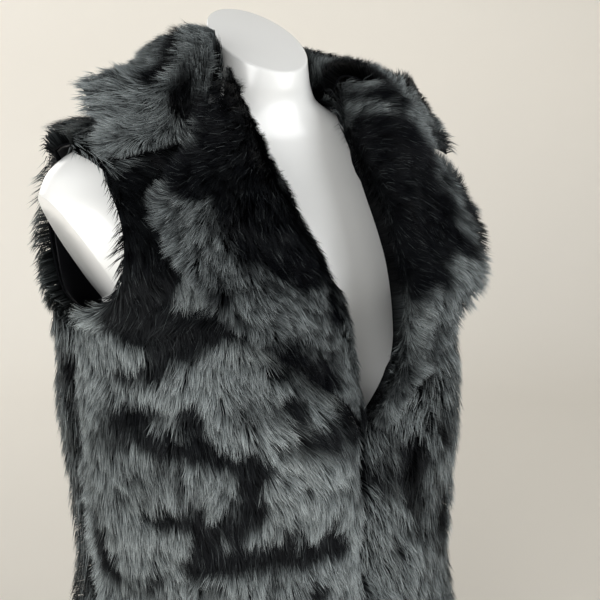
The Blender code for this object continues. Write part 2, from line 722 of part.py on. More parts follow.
def section_over_pile(share, clear):
    """The body's section along a collar section, from the neck down, moved out from the vest."""
    z = np.linspace(0.712, 0.52, 90)
    reach = VEST.reach_at(lambda r: collar_plan(share, r), z)
    plan = collar_plan(share, reach)
    ahead = collar_plan(share, reach + 1e-4) - plan
    ahead /= np.linalg.norm(ahead, axis=1, keepdims=True)
    outward = VEST.outward(np.concatenate([plan, z[:, None]], axis=1))
    level = (outward[:, :2] * ahead).sum(axis=1)
    plane = np.stack([level, outward[:, 2]], axis=1)
    size = (plane**2).sum(axis=1, keepdims=True)
    line = np.stack([reach, z], axis=1) + plane / np.maximum(size, 0.3) * clear
    return resampled(line, 160)[0]


def collar_middle_line(share):
    """Middle of the folded collar wall along its section: reach and height, foot to outer edge."""
    top, fall, lift, sag = (float(v) for v in smooth_columns(COLLAR_SECTIONS, share))
    foot, _ = collar_ray(share)
    fold = COLLAR_FOLD_HALF
    ground = float(VEST.top_at(np.array(foot[0]), np.array(foot[1])))
    stand_top = top - COLLAR_WALL_HALF - fold
    start = ground + PANEL_LIFT + RIM + 0.0015
    stand_z = np.linspace(start, stand_top, 6)
    stand_r = (stand_z - start) * COLLAR_LEAN
    turn = np.linspace(math.pi, 0, 7)[1:]
    bend = np.stack([stand_r[-1] + fold + fold * np.cos(turn), stand_top + fold * np.sin(turn)], axis=1)
    begin = bend[-1]
    rest = section_over_pile(share, PANEL_LIFT + PILE + COLLAR_WALL_HALF + COLLAR_CLEAR + lift)
    rest = rest[rest[:, 0] > begin[0] - 0.004]
    far = np.linalg.norm(rest - begin, axis=1)
    last = int(np.argmax(far > fall)) if (far > fall).any() else len(rest) - 1
    chain = np.concatenate([bend[2:], rest[: last + 1]])
    line = [chain[0]]
    here = 0
    while here < len(chain) - 1:
        step = chain[here + 1 :] - chain[here]
        turned = np.arctan2(step[:, 1], np.maximum(step[:, 0], -1.0))
        here = here + 1 + int(np.argmax(turned))
        line.append(chain[here])
    line, along = resampled(np.array(line), 24)
    lying, _ = resampled(chain, 24)
    held = sag * smooth_step(along / 0.05)[:, None] * (1 - along / along[-1])[:, None] ** 0.5
    line = line + (lying - line) * held
    stand = np.stack([stand_r, stand_z], axis=1)
    return np.concatenate([stand, bend[:2], line])


def resampled(line, count):
    steps = np.linalg.norm(np.diff(line, axis=0), axis=1)
    along = np.concatenate([[0], np.cumsum(steps)])
    wanted = np.linspace(0, along[-1], count)
    return np.stack([np.interp(wanted, along, line[:, k]) for k in range(2)], axis=1), wanted


def collar_loop(share):
    """The two faces of the collar's wall along its section, drawn on the wearer's left."""
    line, along = resampled(collar_middle_line(share), 20)
    ease = 0.5 * (1 - smooth_step((along[1:-1] - 0.060) / 0.030))[:, None]
    line[1:-1] += ease * ((line[:-2] + line[2:]) / 2 - line[1:-1])
    way = np.gradient(line, axis=0)
    way /= np.linalg.norm(way, axis=1, keepdims=True)
    side = np.stack([-way[:, 1], way[:, 0]], axis=1)
    left = along[-1] - along
    half = COLLAR_WALL_HALF * np.maximum(round_profile(left, 0.014), 0.16)
    half *= np.maximum(round_profile(along, 0.016), 0.14)
    faces = []
    for sign in (1, -1):
        face = held_over_pile(share, line + sign * side * half[:, None], 0.0 if sign < 0 else 0.002)
        plan = collar_plan(share, face[:, 0])
        faces.append(np.concatenate([plan, face[:, 1:]], axis=1))
    return faces


def held_over_pile(share, face, more):
    """A face of the collar's section, moved out where it would come down into the body's pile."""
    for _ in range(3):
        place = np.concatenate([collar_plan(share, face[:, 0]), face[:, 1:]], axis=1)
        foot = VEST.drop(place)
        high = np.linalg.norm(place - foot, axis=1) * np.sign(VEST.outside(place))
        pile = PANEL_LIFT + RIM + (PILE - RIM) * smooth_step(face[:, 0] / NECK_TAPER)
        wanted = pile + COLLAR_HOLD + more * smooth_step((face[:, 0] - 0.03) / 0.02)
        ahead = collar_plan(share, face[:, 0] + 1e-4) - place[:, :2]
        ahead /= np.linalg.norm(ahead, axis=1, keepdims=True)
        outward = VEST.outward(foot)
        way = np.stack([(outward[:, :2] * ahead).sum(axis=1), outward[:, 2]], axis=1)
        way /= np.maximum((way**2).sum(axis=1, keepdims=True), 0.3)
        far = smooth_step((face[:, 0] - 0.022) / 0.02)
        face = face + way * (np.maximum(wanted - high, 0.0) * far)[:, None]
    return face


def make_collar(material):
    half_shares = [0.12, 0.24, 0.36, 0.47, 0.57, 0.66, 0.74, 0.81, 0.87, 0.92, 0.96, 0.985, 1.0]
    visible, hidden = [], []
    for share in [-s for s in half_shares[::-1]] + [0.0] + half_shares:
        one, other = collar_loop(share)
        tuck = 1 - 0.45 * (1 - float(round_profile((1.0 - abs(share)) * 0.16 + 0.0004, 0.010)))
        middle = (one + other) / 2
        one, other = middle + (one - middle) * tuck, middle + (other - middle) * tuck
        visible.append(mirrored(one) if share < 0 else one)
        hidden.append(mirrored(other) if share < 0 else other)
    points, faces = solid_from_sheets(np.array(visible), np.array(hidden))
    return add_object("collar", points, faces, material)


def make_torso(material):
    """The display torso: rings up to a cap that slopes forward, with both arms cut off flat."""
    heights = np.concatenate(
        [
            np.linspace(BASE_Z, 0.50, 11),
            [0.528, 0.548, 0.566, 0.584, 0.602, 0.618, 0.632, 0.644, 0.655, 0.666, 0.677],
            [0.688, 0.698, 0.708, 0.720, 0.736, 0.758, CAP_Z - 0.006, CAP_Z - 0.0015, CAP_Z],
        ]
    )
    angles = np.linspace(0, 2 * math.pi, 36, endpoint=False)
    loops = []
    for z in heights:
        ring = TORSO.at(angles, np.full(angles.shape, z))
        tilt = math.tan(math.radians(CAP_SLOPE)) * smooth_step((z - 0.70) / (CAP_Z - 0.70))
        centre = smooth_columns(TORSO_RINGS, z)[3]
        rounding = {CAP_Z: 0.0030, CAP_Z - 0.0015: 0.0008}.get(z, 0.0)
        away = ring[:, :2] - np.array([0.0, centre])
        away *= (1 - rounding / np.linalg.norm(away, axis=1))[:, None]
        ring[:, :2] = away + np.array([0.0, centre])
        ring[:, 2] += tilt * (ring[:, 1] - centre)
        loops.append(cut_arms(ring))
    return add_object("display_torso", *solid_from_loops(loops), material)


def cut_arms(ring):
    """Points past the slanted arm cuts are moved in onto them."""
    (x0, z0), (x1, z1) = ARM_CUT_LOW, ARM_CUT_HIGH
    limit = x0 + (ring[:, 2] - z0) * (x1 - x0) / (z1 - z0) - ring[:, 1] * ARM_CUT_TURN
    limit = np.where(ring[:, 2] > z0, limit, 1.0)
    ring = ring.copy()
    ring[:, 0] = np.clip(ring[:, 0], -limit, limit)
    return ring


def clear_scene():
    for obj in list(bpy.data.objects):
        bpy.data.objects.remove(obj)


def main():
    clear_scene()
    collection = bpy.data.collections.new("faux_fur_vest")
    bpy.context.scene.collection.children.link(collection)
    fur = make_material("faux_fur", (0.045, 0.050, 0.055), 0.75)
    satin = make_material("satin_lining", (0.010, 0.010, 0.012), 0.35)
    plastic = make_material("white_plastic", (0.82, 0.82, 0.82), 0.30)
    make_torso(plastic)
    make_lining("lining_back", "back", satin, 1)
    make_lining("lining_left_front", "front", satin, 1)
    make_lining("lining_right_front", "front", satin, -1)
    make_body_panel("back_panel", "back", fur, 1)
    make_body_panel("left_front", "front", fur, 1)
    make_body_panel("right_front", "front", fur, -1)
    make_lapel("left_lapel", fur, 1)
    make_lapel("right_lapel", fur, -1)
    make_collar(fur)


main()
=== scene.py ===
"""The looks of a faux fur vest on a display torso: pile, satin, plastic, studio light and camera.

The cloth follows the same rings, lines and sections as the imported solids. The fur is made of
tapered blades that root in a thin backing and reach the solids' outer face.
"""

import math
from collections import namedtuple
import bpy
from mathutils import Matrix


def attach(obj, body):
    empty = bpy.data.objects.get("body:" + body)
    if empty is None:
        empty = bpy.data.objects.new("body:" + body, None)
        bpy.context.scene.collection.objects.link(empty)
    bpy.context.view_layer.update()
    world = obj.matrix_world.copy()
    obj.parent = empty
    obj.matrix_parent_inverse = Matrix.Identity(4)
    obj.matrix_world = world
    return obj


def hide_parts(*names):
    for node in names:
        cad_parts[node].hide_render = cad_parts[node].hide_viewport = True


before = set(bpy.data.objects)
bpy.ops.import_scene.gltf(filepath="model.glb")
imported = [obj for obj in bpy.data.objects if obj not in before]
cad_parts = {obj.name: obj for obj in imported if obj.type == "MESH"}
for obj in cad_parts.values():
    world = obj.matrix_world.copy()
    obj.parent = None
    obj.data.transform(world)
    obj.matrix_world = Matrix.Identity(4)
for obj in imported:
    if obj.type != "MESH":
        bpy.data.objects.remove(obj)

from types import SimpleNamespace

import bmesh
import bpy
import numpy as np

Sheets = namedtuple("Sheets", "root tip outward edges lining", defaults=[None])
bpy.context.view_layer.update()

# Driving heights
BASE_Z = 0.0
HEM_Z = 0.062
BREAK_Z = 0.455
ARMPIT_Z = 0.542
SHOULDER_TIP_Z = 0.6745
CAP_Z = 0.764
CAP_SLOPE = 33.0
# Rounding of the cap's rim, down and in, and the bevel of the form's other edges
CAP_RIM_DOWN = 0.0020
CAP_RIM_IN = 0.0016
FORM_BEVEL = 0.0014

# Cloth
SEAM_GAP = 0.0003
LINING_WALL = 0.0011
LINING_CLEAR = 0.0006
LINING_GAP = 0.0005
PANEL_LIFT = LINING_CLEAR + LINING_WALL + LINING_GAP
PILE = 0.019
RIM = 0.0045
EDGE_ROUND = 0.018
ARM_ROUND = 0.011
NECK_TAPER = 0.050
SEAM_GROOVE = 0.0045
SEAM_GROOVE_WIDTH = 0.007

# How far out a panel's edge runs along the armhole, at heights, and the front edge
ARMHOLE_FRONT = (
    (0.542, 0.1695),
    (0.570, 0.1670),
    (0.610, 0.1670),
    (0.645, 0.1690),
    (0.6745, 0.1690),
)
ARMHOLE_BACK = (
    (0.542, 0.1695),
    (0.570, 0.1690),
    (0.610, 0.1720),
    (0.645, 0.1720),
    (0.6745, 0.1690),
)
FRONT_EDGE_X = SEAM_GAP / 2
ROLL_SETBACK = 0.012

# The slanted cut of each arm: distance from the centre line and height at its low and high end, and
# how much nearer the centre line it is for each metre further back
ARM_CUT_LOW = (0.1380, 0.5395)
ARM_CUT_HIGH = (0.2000, 0.6340)
ARM_CUT_TURN = 0.13
# How far the block that cuts an arm off reaches out from the centre line, up, and front to back
CUTTER_OUT = 0.35
CUTTER_UP = 0.15
CUTTER_HALF_DEPTH = 0.2

# Rings of the torso: height, half width, front depth, back depth, centre y, squareness
TORSO_RINGS = (
    (0.000, 0.146, 0.104, 0.110, 0.000, 2.3),
    (0.050, 0.157, 0.108, 0.118, 0.000, 2.3),
    (0.110, 0.163, 0.108, 0.120, 0.000, 2.3),
    (0.200, 0.148, 0.102, 0.098, 0.000, 2.2),
    (0.300, 0.118, 0.092, 0.078, 0.000, 2.1),
    (0.390, 0.127, 0.100, 0.086, 0.000, 2.2),
    (0.455, 0.137, 0.108, 0.096, 0.000, 2.3),
    (0.530, 0.138, 0.096, 0.102, 0.000, 2.5),
    (0.560, 0.161, 0.091, 0.100, 0.001, 2.8),
    (0.600, 0.191, 0.079, 0.092, 0.003, 2.8),
    (0.630, 0.200, 0.067, 0.082, 0.004, 2.6),
    (0.648, 0.196, 0.058, 0.073, 0.005, 2.3),
    (0.667, 0.177, 0.050, 0.064, 0.006, 2.1),
    (0.682, 0.132, 0.045, 0.056, 0.006, 2.0),
    (0.697, 0.084, 0.042, 0.050, 0.004, 2.0),
    (0.715, 0.054, 0.041, 0.045, 0.002, 2.0),
    (0.740, 0.0455, 0.042, 0.043, 0.000, 2.0),
    (0.764, 0.0435, 0.045, 0.045, 0.002, 2.0),
)

# Rings of the vest's lining side: height, half width, front depth, back depth, centre y, squareness
VEST_RINGS = (
    (0.050, 0.186, 0.144, 0.143, 0.000, 2.3),
    (0.110, 0.183, 0.144, 0.141, 0.000, 2.3),
    (0.200, 0.168, 0.144, 0.128, 0.000, 2.3),
    (0.300, 0.156, 0.144, 0.118, 0.000, 2.2),
    (0.390, 0.162, 0.140, 0.119, 0.000, 2.3),
    (0.455, 0.165, 0.129, 0.120, 0.000, 2.4),
    (0.535, 0.167, 0.113, 0.113, 0.000, 2.6),
    (0.560, 0.176, 0.106, 0.109, 0.001, 2.8),
    (0.600, 0.196, 0.091, 0.098, 0.003, 2.8),
    (0.630, 0.204, 0.075, 0.086, 0.004, 2.6),
    (0.648, 0.200, 0.062, 0.077, 0.005, 2.3),
    (0.6700, 0.186, 0.053, 0.067, 0.006, 2.1),
    (0.6816, 0.137, 0.048, 0.059, 0.006, 2.0),
    (0.6956, 0.089, 0.045, 0.054, 0.004, 2.0),
    (0.7128, 0.059, 0.045, 0.049, 0.002, 2.0),
    (0.740, 0.050, 0.046, 0.047, 0.000, 2.0),
    (0.764, 0.048, 0.049, 0.049, 0.002, 2.0),
)

# Bust of each: height, distance from the centre line, spread sideways, spread in height, depth
TORSO_BUST = (0.455, 0.072, 0.052, 0.055, 0.030)
VEST_BUST = (0.455, 0.062, 0.068, 0.065, 0.022)

# Soft hanging folds of the body: angle, lean to the bottom, top height, half width, depth, all
# angles in degrees from the centre front and positive to the wearer's left
FOLDS = (
    (-24.0, 6.0, 0.400, 9.0, 0.006),
    (-62.0, -8.0, 0.440, 11.0, -0.008),
    (-96.0, -5.0, 0.470, 9.0, -0.010),
    (-128.0, 4.0, 0.420, 12.0, 0.007),
    (-158.0, 3.0, 0.380, 10.0, -0.006),
    (166.0, -4.0, 0.400, 11.0, 0.006),
    (132.0, -3.0, 0.430, 12.0, -0.007),
    (98.0, 6.0, 0.460, 9.0, -0.009),
    (66.0, 5.0, 0.420, 11.0, 0.006),
    (34.0, -6.0, 0.390, 8.0, -0.006),
)

# Roll line of a lapel in the front view, from the break up: distance from the centre line, height
ROLL_LINE = (
    (0.0005, 0.455),
    (0.0170, 0.496),
    (0.0240, 0.538),
    (0.0330, 0.582),
    (0.0405, 0.630),
)
# How far the opening between the lapels has slipped to the wearer's left, at heights
ROLL_SLIP = (
    (0.455, 0.0),
    (0.496, 0.0145),
    (0.538, 0.0200),
    (0.582, 0.0160),
    (0.630, 0.0045),
    (0.665, -0.0020),
    (0.690, 0.0),
)
# Outer edge of a lapel in the front view, from the break up to its tip
LAPEL_EDGE = (
    (0.0120, 0.446),
    (0.0450, 0.472),
    (0.0800, 0.504),
    (0.1020, 0.534),
    (0.1130, 0.566),
    (0.1150, 0.600),
)
LAPEL_WALL = 0.020
LAPEL_NOSE = 0.020
LAPEL_EDGE_ROUND = 0.014
LAPEL_GAP = 0.0038
LAPEL_CLEAR = 0.0010
# Height of a lapel's two faces at its roll, its least wall, and how deep in it the fur roots
LAPEL_ROLL_OVER = 0.0050
LAPEL_ROLL_UNDER = 0.0018
LAPEL_LEAST_WALL = 0.0022
LAPEL_ROOT_SHARE = 0.22
NOTCH_WIDTH = 0.52
# Height of a lapel's roll over the vest's lining side, at shares of its length from the break up
LAPEL_TIP_LIFT = 0.020
LAPEL_RIDGE = ((0.0, 0.024), (0.20, 0.040), (0.45, 0.046), (0.70, 0.052), (1.0, 0.062))

# The gorge keeps below the collar's fold: this share of what rises above this height is left out
GORGE_DROP = 0.55
GORGE_DROP_Z = 0.722

# Collar: the neck seam is an oval seen from above, and each station is a section along a ray
NECK_SEAM_Y = 0.006
NECK_SEAM_HALF = (0.0640, 0.0620)
COLLAR_HALF_SWEEP = 122.0
COLLAR_RAY_SWEEP = 104.0
COLLAR_WALL_HALF = 0.0098
COLLAR_FOLD_HALF = 0.0128
COLLAR_LEAN = 0.06
COLLAR_CLEAR = 0.0030
COLLAR_HOLD = 0.0016
COLLAR_FALL_HOLD = 0.0020
COLLAR_FOOT_CLEAR = 0.0015
COLLAR_EDGE_ROUND = 0.014
COLLAR_FOOT_ROUND = 0.016
COLLAR_ROOT_SHARE = 0.30
# The front ends bow forward towards the notch, which is this far along them
COLLAR_END_BOW = 0.038
COLLAR_FRONT_EDGE = 0.078
NOTCH_REACH = 0.056
# Sections from the wearer's right front end to the left one: share of the half sweep, top height,
# length of the fall, how high it stands over the body's pile, and how far it sags onto the pile
COLLAR_SECTIONS = (
    (-1.00, 0.773, 0.128, 0.004, 0.90),
    (-0.90, 0.777, 0.102, 0.005, 0.90),
    (-0.75, 0.772, 0.064, 0.006, 0.90),
    (-0.55, 0.768, 0.050, 0.006, 0.80),
    (-0.30, 0.770, 0.062, 0.004, 0.40),
    (0.00, 0.772, 0.088, 0.003, 0.00),
    (0.30, 0.770, 0.082, 0.004, 0.00),
    (0.55, 0.765, 0.076, 0.004, 0.00),
    (0.75, 0.758, 0.080, 0.003, 0.20),
    (0.90, 0.752, 0.102, 0.004, 0.55),
    (1.00, 0.750, 0.128, 0.004, 0.75),
)


def smooth_columns(table, at):
    """The columns of a table after its first, at values of the first, on curves that don't overshoot."""
    rows = np.array(table, float)
    knots, values = rows[:, 0], rows[:, 1:]
    slope = np.diff(values, axis=0) / np.diff(knots)[:, None]
    tangent = np.zeros_like(values)
    product = slope[:-1] * slope[1:]
    total = slope[:-1] + slope[1:]
    same_way = product > 0
    tangent[1:-1] = np.where(same_way, 2 * product / np.where(same_way, total, 1.0), 0.0)
    tangent[0], tangent[-1] = slope[0], slope[-1]
    at = np.clip(np.asarray(at, float), knots[0], knots[-1])
    k = np.clip(np.searchsorted(knots, at) - 1, 0, len(knots) - 2)
    width = (knots[k + 1] - knots[k])[..., None]
    t = ((at - knots[k]) / (knots[k + 1] - knots[k]))[..., None]
    start = values[k] * (2 * t**3 - 3 * t**2 + 1) + tangent[k] * width * (t**3 - 2 * t**2 + t)
    end = values[k + 1] * (3 * t**2 - 2 * t**3) + tangent[k + 1] * width * (t**3 - t**2)
    return np.moveaxis(start + end, -1, 0)


def smooth_step(value):
    value = np.clip(value, 0.0, 1.0)
    return value * value * (3 - 2 * value)


def round_profile(distance, radius):
    """0 at an edge and 1 from radius inwards, as a quarter circle."""
    share = np.clip(distance / radius, 0.0, 1.0)
    return np.sqrt(1 - (1 - share) ** 2)


def unit(way):
    """Ways at a length of 1."""
    return way / np.maximum(np.linalg.norm(way, axis=-1, keepdims=True), 1e-9)


def along_axis(points, axis=0):
    """How far each point is from the first one, along a line or one axis of a grid."""
    steps = np.linalg.norm(np.diff(points, axis=axis), axis=-1)
    return np.concatenate([0 * np.take(steps, [0], axis), np.cumsum(steps, axis=axis)], axis=axis)


def turned_right(way):
    """A way in the plan view, turned a quarter to the right."""
    return np.stack([way[..., 1], -way[..., 0]], axis=-1)


def halved(shape, low, high, below, rounds=30):
    """The values between low and high at which a test stops being true."""
    low, high = np.full(shape, low), np.full(shape, high)
    for _ in range(rounds):
        middle = (low + high) / 2
        found = below(middle)
        low, high = np.where(found, middle, low), np.where(found, high, middle)
    return low


def facing_out(points, faces):
    """The faces of a closed shape, turned over if they face inwards."""
    volume = 0.0
    for face in faces:
        for a, b in zip(face[1:-1], face[2:]):
            volume += float(np.dot(points[face[0]], np.cross(points[a], points[b])))
    return faces if volume > 0 else [face[::-1] for face in faces]


class Body:
    """A closed surface round the vertical: rings with a front and a back half, and a bust."""

    def __init__(self, rings, bust):
        self.rings, self.bust = rings, bust

    def ring(self, x, z):
        half, front, back, centre, square = smooth_columns(self.rings, z)
        height, apart, spread, tall, depth = self.bust
        mound = np.exp(-(((np.abs(x) - apart) / spread) ** 2) - ((z - height) / tall) ** 2)
        return half, front + depth * mound, back, centre, square

    def at(self, angle, z):
        """The point at an angle from the front, and a height."""
        angle, z = np.broadcast_arrays(np.asarray(angle, float), np.asarray(z, float))
        half, _, _, _, square = smooth_columns(self.rings, z)
        sine, cosine = np.sin(angle), np.cos(angle)
        x = half * np.sign(sine) * np.abs(sine) ** (2 / square)
        half, front, back, centre, square = self.ring(x, z)
        depth = np.where(cosine > 0, front, back)
        y = centre - depth * np.sign(cosine) * np.abs(cosine) ** (2 / square)
        return np.stack([x, y, z], axis=-1)

    def angle_of(self, x, z):
        """The angle at which the ring at height z is x to the side, on its front half."""
        half, _, _, _, square = smooth_columns(self.rings, z)
        share = np.clip(np.abs(x) / half, 0.0, 1.0)
        return np.sign(x) * np.arcsin(share ** (square / 2))

    def outside(self, points):
        """Above 0 outside the surface, as a share of the ring's size."""
        x, y, z = np.moveaxis(np.asarray(points, float), -1, 0)
        half, front, back, centre, square = self.ring(x, z)
        depth = np.where(y < centre, front, back)
        along = (np.abs(x) / half) ** square + (np.abs(y - centre) / depth) ** square
        return along ** (1 / square) - 1

    def slope(self, points):
        """How fast outside() grows along each axis."""
        step = 1e-4
        moves = np.eye(3) * step
        sides = [self.outside(points + move) - self.outside(points - move) for move in moves]
        return np.stack(sides, axis=-1) / (2 * step)

    def outward(self, points):
        """The way straight out of the surface, eased to straight ahead at the centre front."""
        slope = self.slope(points)
        slope[..., 0] *= np.where(points[..., 1] < 0, smooth_step(np.abs(points[..., 0]) / 0.040), 1.0)
        return slope / np.linalg.norm(slope, axis=-1, keepdims=True)

    def drop(self, points):
        """The points moved onto the surface."""
        points = np.array(points, float)
        for _ in range(8):
            slope = self.slope(points)
            size = np.maximum((slope**2).sum(-1, keepdims=True), 1e-9)
            points = points - self.outside(points)[..., None] * slope / size
        return points

    def front_point(self, x, z):
        """The front of the body at x and z, seen from the front."""
        return self.at(self.angle_of(np.asarray(x, float), np.asarray(z, float)), z)

    def top_at(self, x, y):
        """How high the surface is over a place in the plan view."""

        def inside(z):
            return self.outside(np.stack([x, y, z], axis=-1)) < 0

        return halved(np.shape(x), 0.30, CAP_Z, inside)

    def plan_point(self, x, y):
        x, y = np.asarray(x, float), np.asarray(y, float)
        return np.stack([x, y, self.top_at(x, y)], axis=-1)

    def reach_at(self, plan, z):
        """How far along a way in the plan view the surface is met, at heights z."""

        def inside(reach):
            return self.outside(np.concatenate([plan(reach), z[:, None]], axis=-1)) < 0

        return halved(z.shape, -0.05, 0.30, inside)

    def neckline_at(self, angle):
        """Height at which the surface meets the neck seam's oval, at angles from the front."""

        def wide(z):
            x, y, _ = np.moveaxis(self.at(angle, z), -1, 0)
            return np.hypot(x / NECK_SEAM_HALF[0], (y - NECK_SEAM_Y) / NECK_SEAM_HALF[1]) > 1

        return halved(angle.shape, 0.655, 0.740, wide, rounds=26)


TORSO = Body(TORSO_RINGS, TORSO_BUST)
VEST = Body(VEST_RINGS, VEST_BUST)


def fold_height(angle, z):
    """How far the hanging folds push the cloth out at an angle and a height."""
    pushed = np.zeros(np.broadcast(angle, z).shape)
    for middle, lean, top, half_width, depth in FOLDS:
        down = np.clip((top - z) / (top - HEM_Z), 0.0, 1.2)
        centre = math.radians(middle) + math.radians(lean) * down
        away = (angle - centre + math.pi) % (2 * math.pi) - math.pi
        widening = math.radians(half_width) * (1 + 0.5 * down)
        pushed = pushed + depth * smooth_step(down * 1.6) * np.exp(-((away / widening) ** 2))
    return pushed


def mirrored(points):
    return points * np.array([-1.0, 1.0, 1.0])


def solid_from_sheets(outer, inner):
    """Points and faces of a closed wall between two grids of the same shape."""
    rows, columns, _ = outer.shape
    points = np.concatenate([outer.reshape(-1, 3), inner.reshape(-1, 3)])
    far = rows * columns
    number = np.arange(far).reshape(rows, columns)
    a, b, c, d = number[:-1, :-1], number[:-1, 1:], number[1:, 1:], number[1:, :-1]
    corners = [[a, b, c], [a, c, d], [far + c, far + b, far + a], [far + d, far + c, far + a]]
    faces = np.array(corners).transpose(2, 3, 0, 1).reshape(-1, 3).tolist()
    rim = [*number[0], *number[1:, -1], *number[-1, -2::-1], *number[-2:0:-1, 0]]
    for here, there in zip(rim, rim[1:] + rim[:1]):
        faces.append([int(there), int(here), int(far + here), int(far + there)])
    return points, facing_out(points, faces)


def solid_from_loops(loops):
    """Points and faces of a closed tube through loops of the same length, with flat ends."""
    count, size, _ = loops.shape
    points = loops.reshape(-1, 3)
    here = np.arange(size)
    there = (here + 1) % size
    low = size * np.arange(count - 1)[:, None]
    sides = np.stack([low + here, low + there, low + size + there, low + size + here], axis=-1)
    faces = sides.reshape(-1, 4).tolist()
    faces += [list(range(size - 1, -1, -1)), list(range((count - 1) * size, count * size))]
    return points, facing_out(points, faces)


def armhole_reach(z, edge):
    """Angle between the side line and the armhole's edge at heights z, 0 off the armhole."""
    far_out = smooth_columns(edge, z)[0]
    reach = math.pi / 2 - VEST.angle_of(far_out, z)
    share = np.clip((z - ARMPIT_Z) / (SHOULDER_TIP_Z - ARMPIT_Z), 0.0, 1.0)
    ends = np.minimum(1.0, 3.2 * np.sqrt(share * (1 - share)))
    return reach * ends


def armhole_openness(z, run=0.010):
    """1 along the armhole's edge and 0 along the seams under and over it."""
    return smooth_step((z - ARMPIT_Z) / run) * smooth_step((SHOULDER_TIP_Z - z) / run)


def front_edge_x(z, side):
    """Distance of a front panel's edge from the centre line: at the middle up to the break."""
    line = np.array(ROLL_LINE)
    roll = np.interp(z, line[:, 1], line[:, 0]) + 0.13 * np.maximum(z - line[-1, 1], 0.0)
    slip = side * smooth_columns(ROLL_SLIP, z)[0]
    return FRONT_EDGE_X + (roll + slip + ROLL_SETBACK) * turned_back(z)


def turned_back(z):
    """0 where the fronts meet and 1 where they are turned back, at heights z."""
    return smooth_step((z - BREAK_Z + 0.015) / 0.040)


def opened(z):
    """0 where the fronts meet and 1 where their edges are free, at heights z."""
    return smooth_step((z - BREAK_Z + 0.010) / 0.030)


def panel_bounds(which, z, side):
    """First and last angle of a panel's rows at heights z."""
    seam = math.radians(90.0)
    gap = SEAM_GAP / 2 / smooth_columns(VEST_RINGS, z)[1]
    if which == "back":
        start = seam + gap + armhole_reach(z, ARMHOLE_BACK)
        return start, 2 * math.pi - start
    inner = VEST.angle_of(front_edge_x(z, side), z)
    return inner, seam - gap - armhole_reach(z, ARMHOLE_FRONT)


def panel_grid(which, side, heights, columns):
    """Angles and heights of a panel's grid, and how far its points are from its two sides.

    The rows over the shoulder's tip rise to the neck seam, so their height changes along them."""
    tip = heights[-1]

    def risen(share, angle):
        return tip + (VEST.neckline_at(angle) - tip) * share

    plans = []
    for z in heights:
        start, stop = panel_bounds(which, np.array([z]), side)
        plans.append((start[0], stop[0], lambda angle, z=z: np.full(angle.shape, z)))
    for share in np.linspace(0.1, 1.0, 10):
        z = np.array([tip])
        for _ in range(8):
            start, _ = panel_bounds(which, z, side)
            z = risen(share, start)
        _, stop = panel_bounds(which, np.array([tip + (0.70 - tip) * share]), side)
        plans.append((start[0], stop[0], lambda angle, share=share: risen(share, angle)))
    even, dense = np.linspace(0, 1, columns), np.linspace(0, 1, 25)
    rows = []
    for start, stop, height in plans:
        angle = start + (stop - start) * dense
        length = along_axis(VEST.at(angle, height(angle)))[-1]
        angle = start + (stop - start) * even
        rows.append((angle, height(angle), even * length, (1 - even) * length))
    return [np.stack(column) for column in zip(*rows)]


def from_ends(points):
    """How far each grid point is from the first row and from the last, along its column."""
    along = along_axis(points)
    return along, along[-1] - along


def pile_height(which, points, from_start, from_stop):
    """Thickness of a body panel: full in the middle, rounded at free edges, low at seams."""
    z = points[..., 2]
    from_hem, from_neck = from_ends(points)
    open_arm = armhole_openness(z)

    def arm_side(far):
        groove = 1 - SEAM_GROOVE / PILE * np.exp(-((far / SEAM_GROOVE_WIDTH) ** 2))
        return open_arm * round_profile(far, ARM_ROUND) + (1 - open_arm) * groove

    if which == "back":
        near_side = arm_side(from_start)
    else:
        closed = (1 - opened(z)) * round_profile(from_start, 0.006)
        near_side = opened(z) * round_profile(from_start, EDGE_ROUND) + closed
    shape = near_side * arm_side(from_stop) * round_profile(from_hem, EDGE_ROUND)
    return RIM + (PILE - RIM) * shape * smooth_step(from_neck / NECK_TAPER)


def along_line(points, shares):
    """Places at shares of a smooth line through points."""
    along = along_axis(points)
    table = np.concatenate([(along / along[-1])[:, None], points], axis=1)
    return np.moveaxis(smooth_columns(table, shares), 0, -1)


def collar_plan(share, reach):
    """Places in the plan view at reaches along a collar section."""
    foot, ray = collar_ray(share)
    reach = np.asarray(reach, float)[..., None]
    late = smooth_step((abs(share) - 0.6) / 0.4)
    bow = late * COLLAR_END_BOW * np.sin(np.clip(reach / (2 * NOTCH_REACH), 0, 1) * math.pi)
    return foot + ray * reach + turned_right(ray) * bow


def lapel_lines(shares, side):
    """Roll line and outer edge of a lapel on the vest's surface, drawn on the left side."""
    top = collar_plan(1.0, 0.0) + turned_right(collar_ray(1.0)[1]) * LAPEL_GAP
    slip = [side * float(smooth_columns(ROLL_SLIP, z)[0]) for _, z in ROLL_LINE]
    roll = [VEST.front_point(x + moved, z) for (x, z), moved in zip(ROLL_LINE, slip)]
    roll.append(VEST.plan_point(*top))
    edge = [VEST.front_point(x, z) for x, z in LAPEL_EDGE]
    return VEST.drop(along_line(roll, shares)), VEST.drop(along_line(edge, shares))


def lapel_surface(shares, widths, side):
    """Grid on the vest's surface under the lapel. widths hold one row of shares for each row."""
    roll, edge = lapel_lines(shares, side)
    grid = roll[:, None] + (edge - roll)[:, None] * widths[..., None]
    reach = np.minimum(widths[-1] / NOTCH_WIDTH, 1.0) * NOTCH_REACH
    plan = collar_plan(1.0, reach) + turned_right(collar_ray(1.0)[1]) * LAPEL_GAP
    gorge = VEST.plan_point(plan[:, 0], plan[:, 1])
    past = np.clip((widths[-1] - NOTCH_WIDTH) / (1 - NOTCH_WIDTH), 0, 1)[:, None]
    gorge = gorge + (edge[-1] - gorge) * past
    late = smooth_step((shares - 0.50) / 0.50)[:, None, None]
    return VEST.drop(grid + late * (gorge - grid[-1])[None])


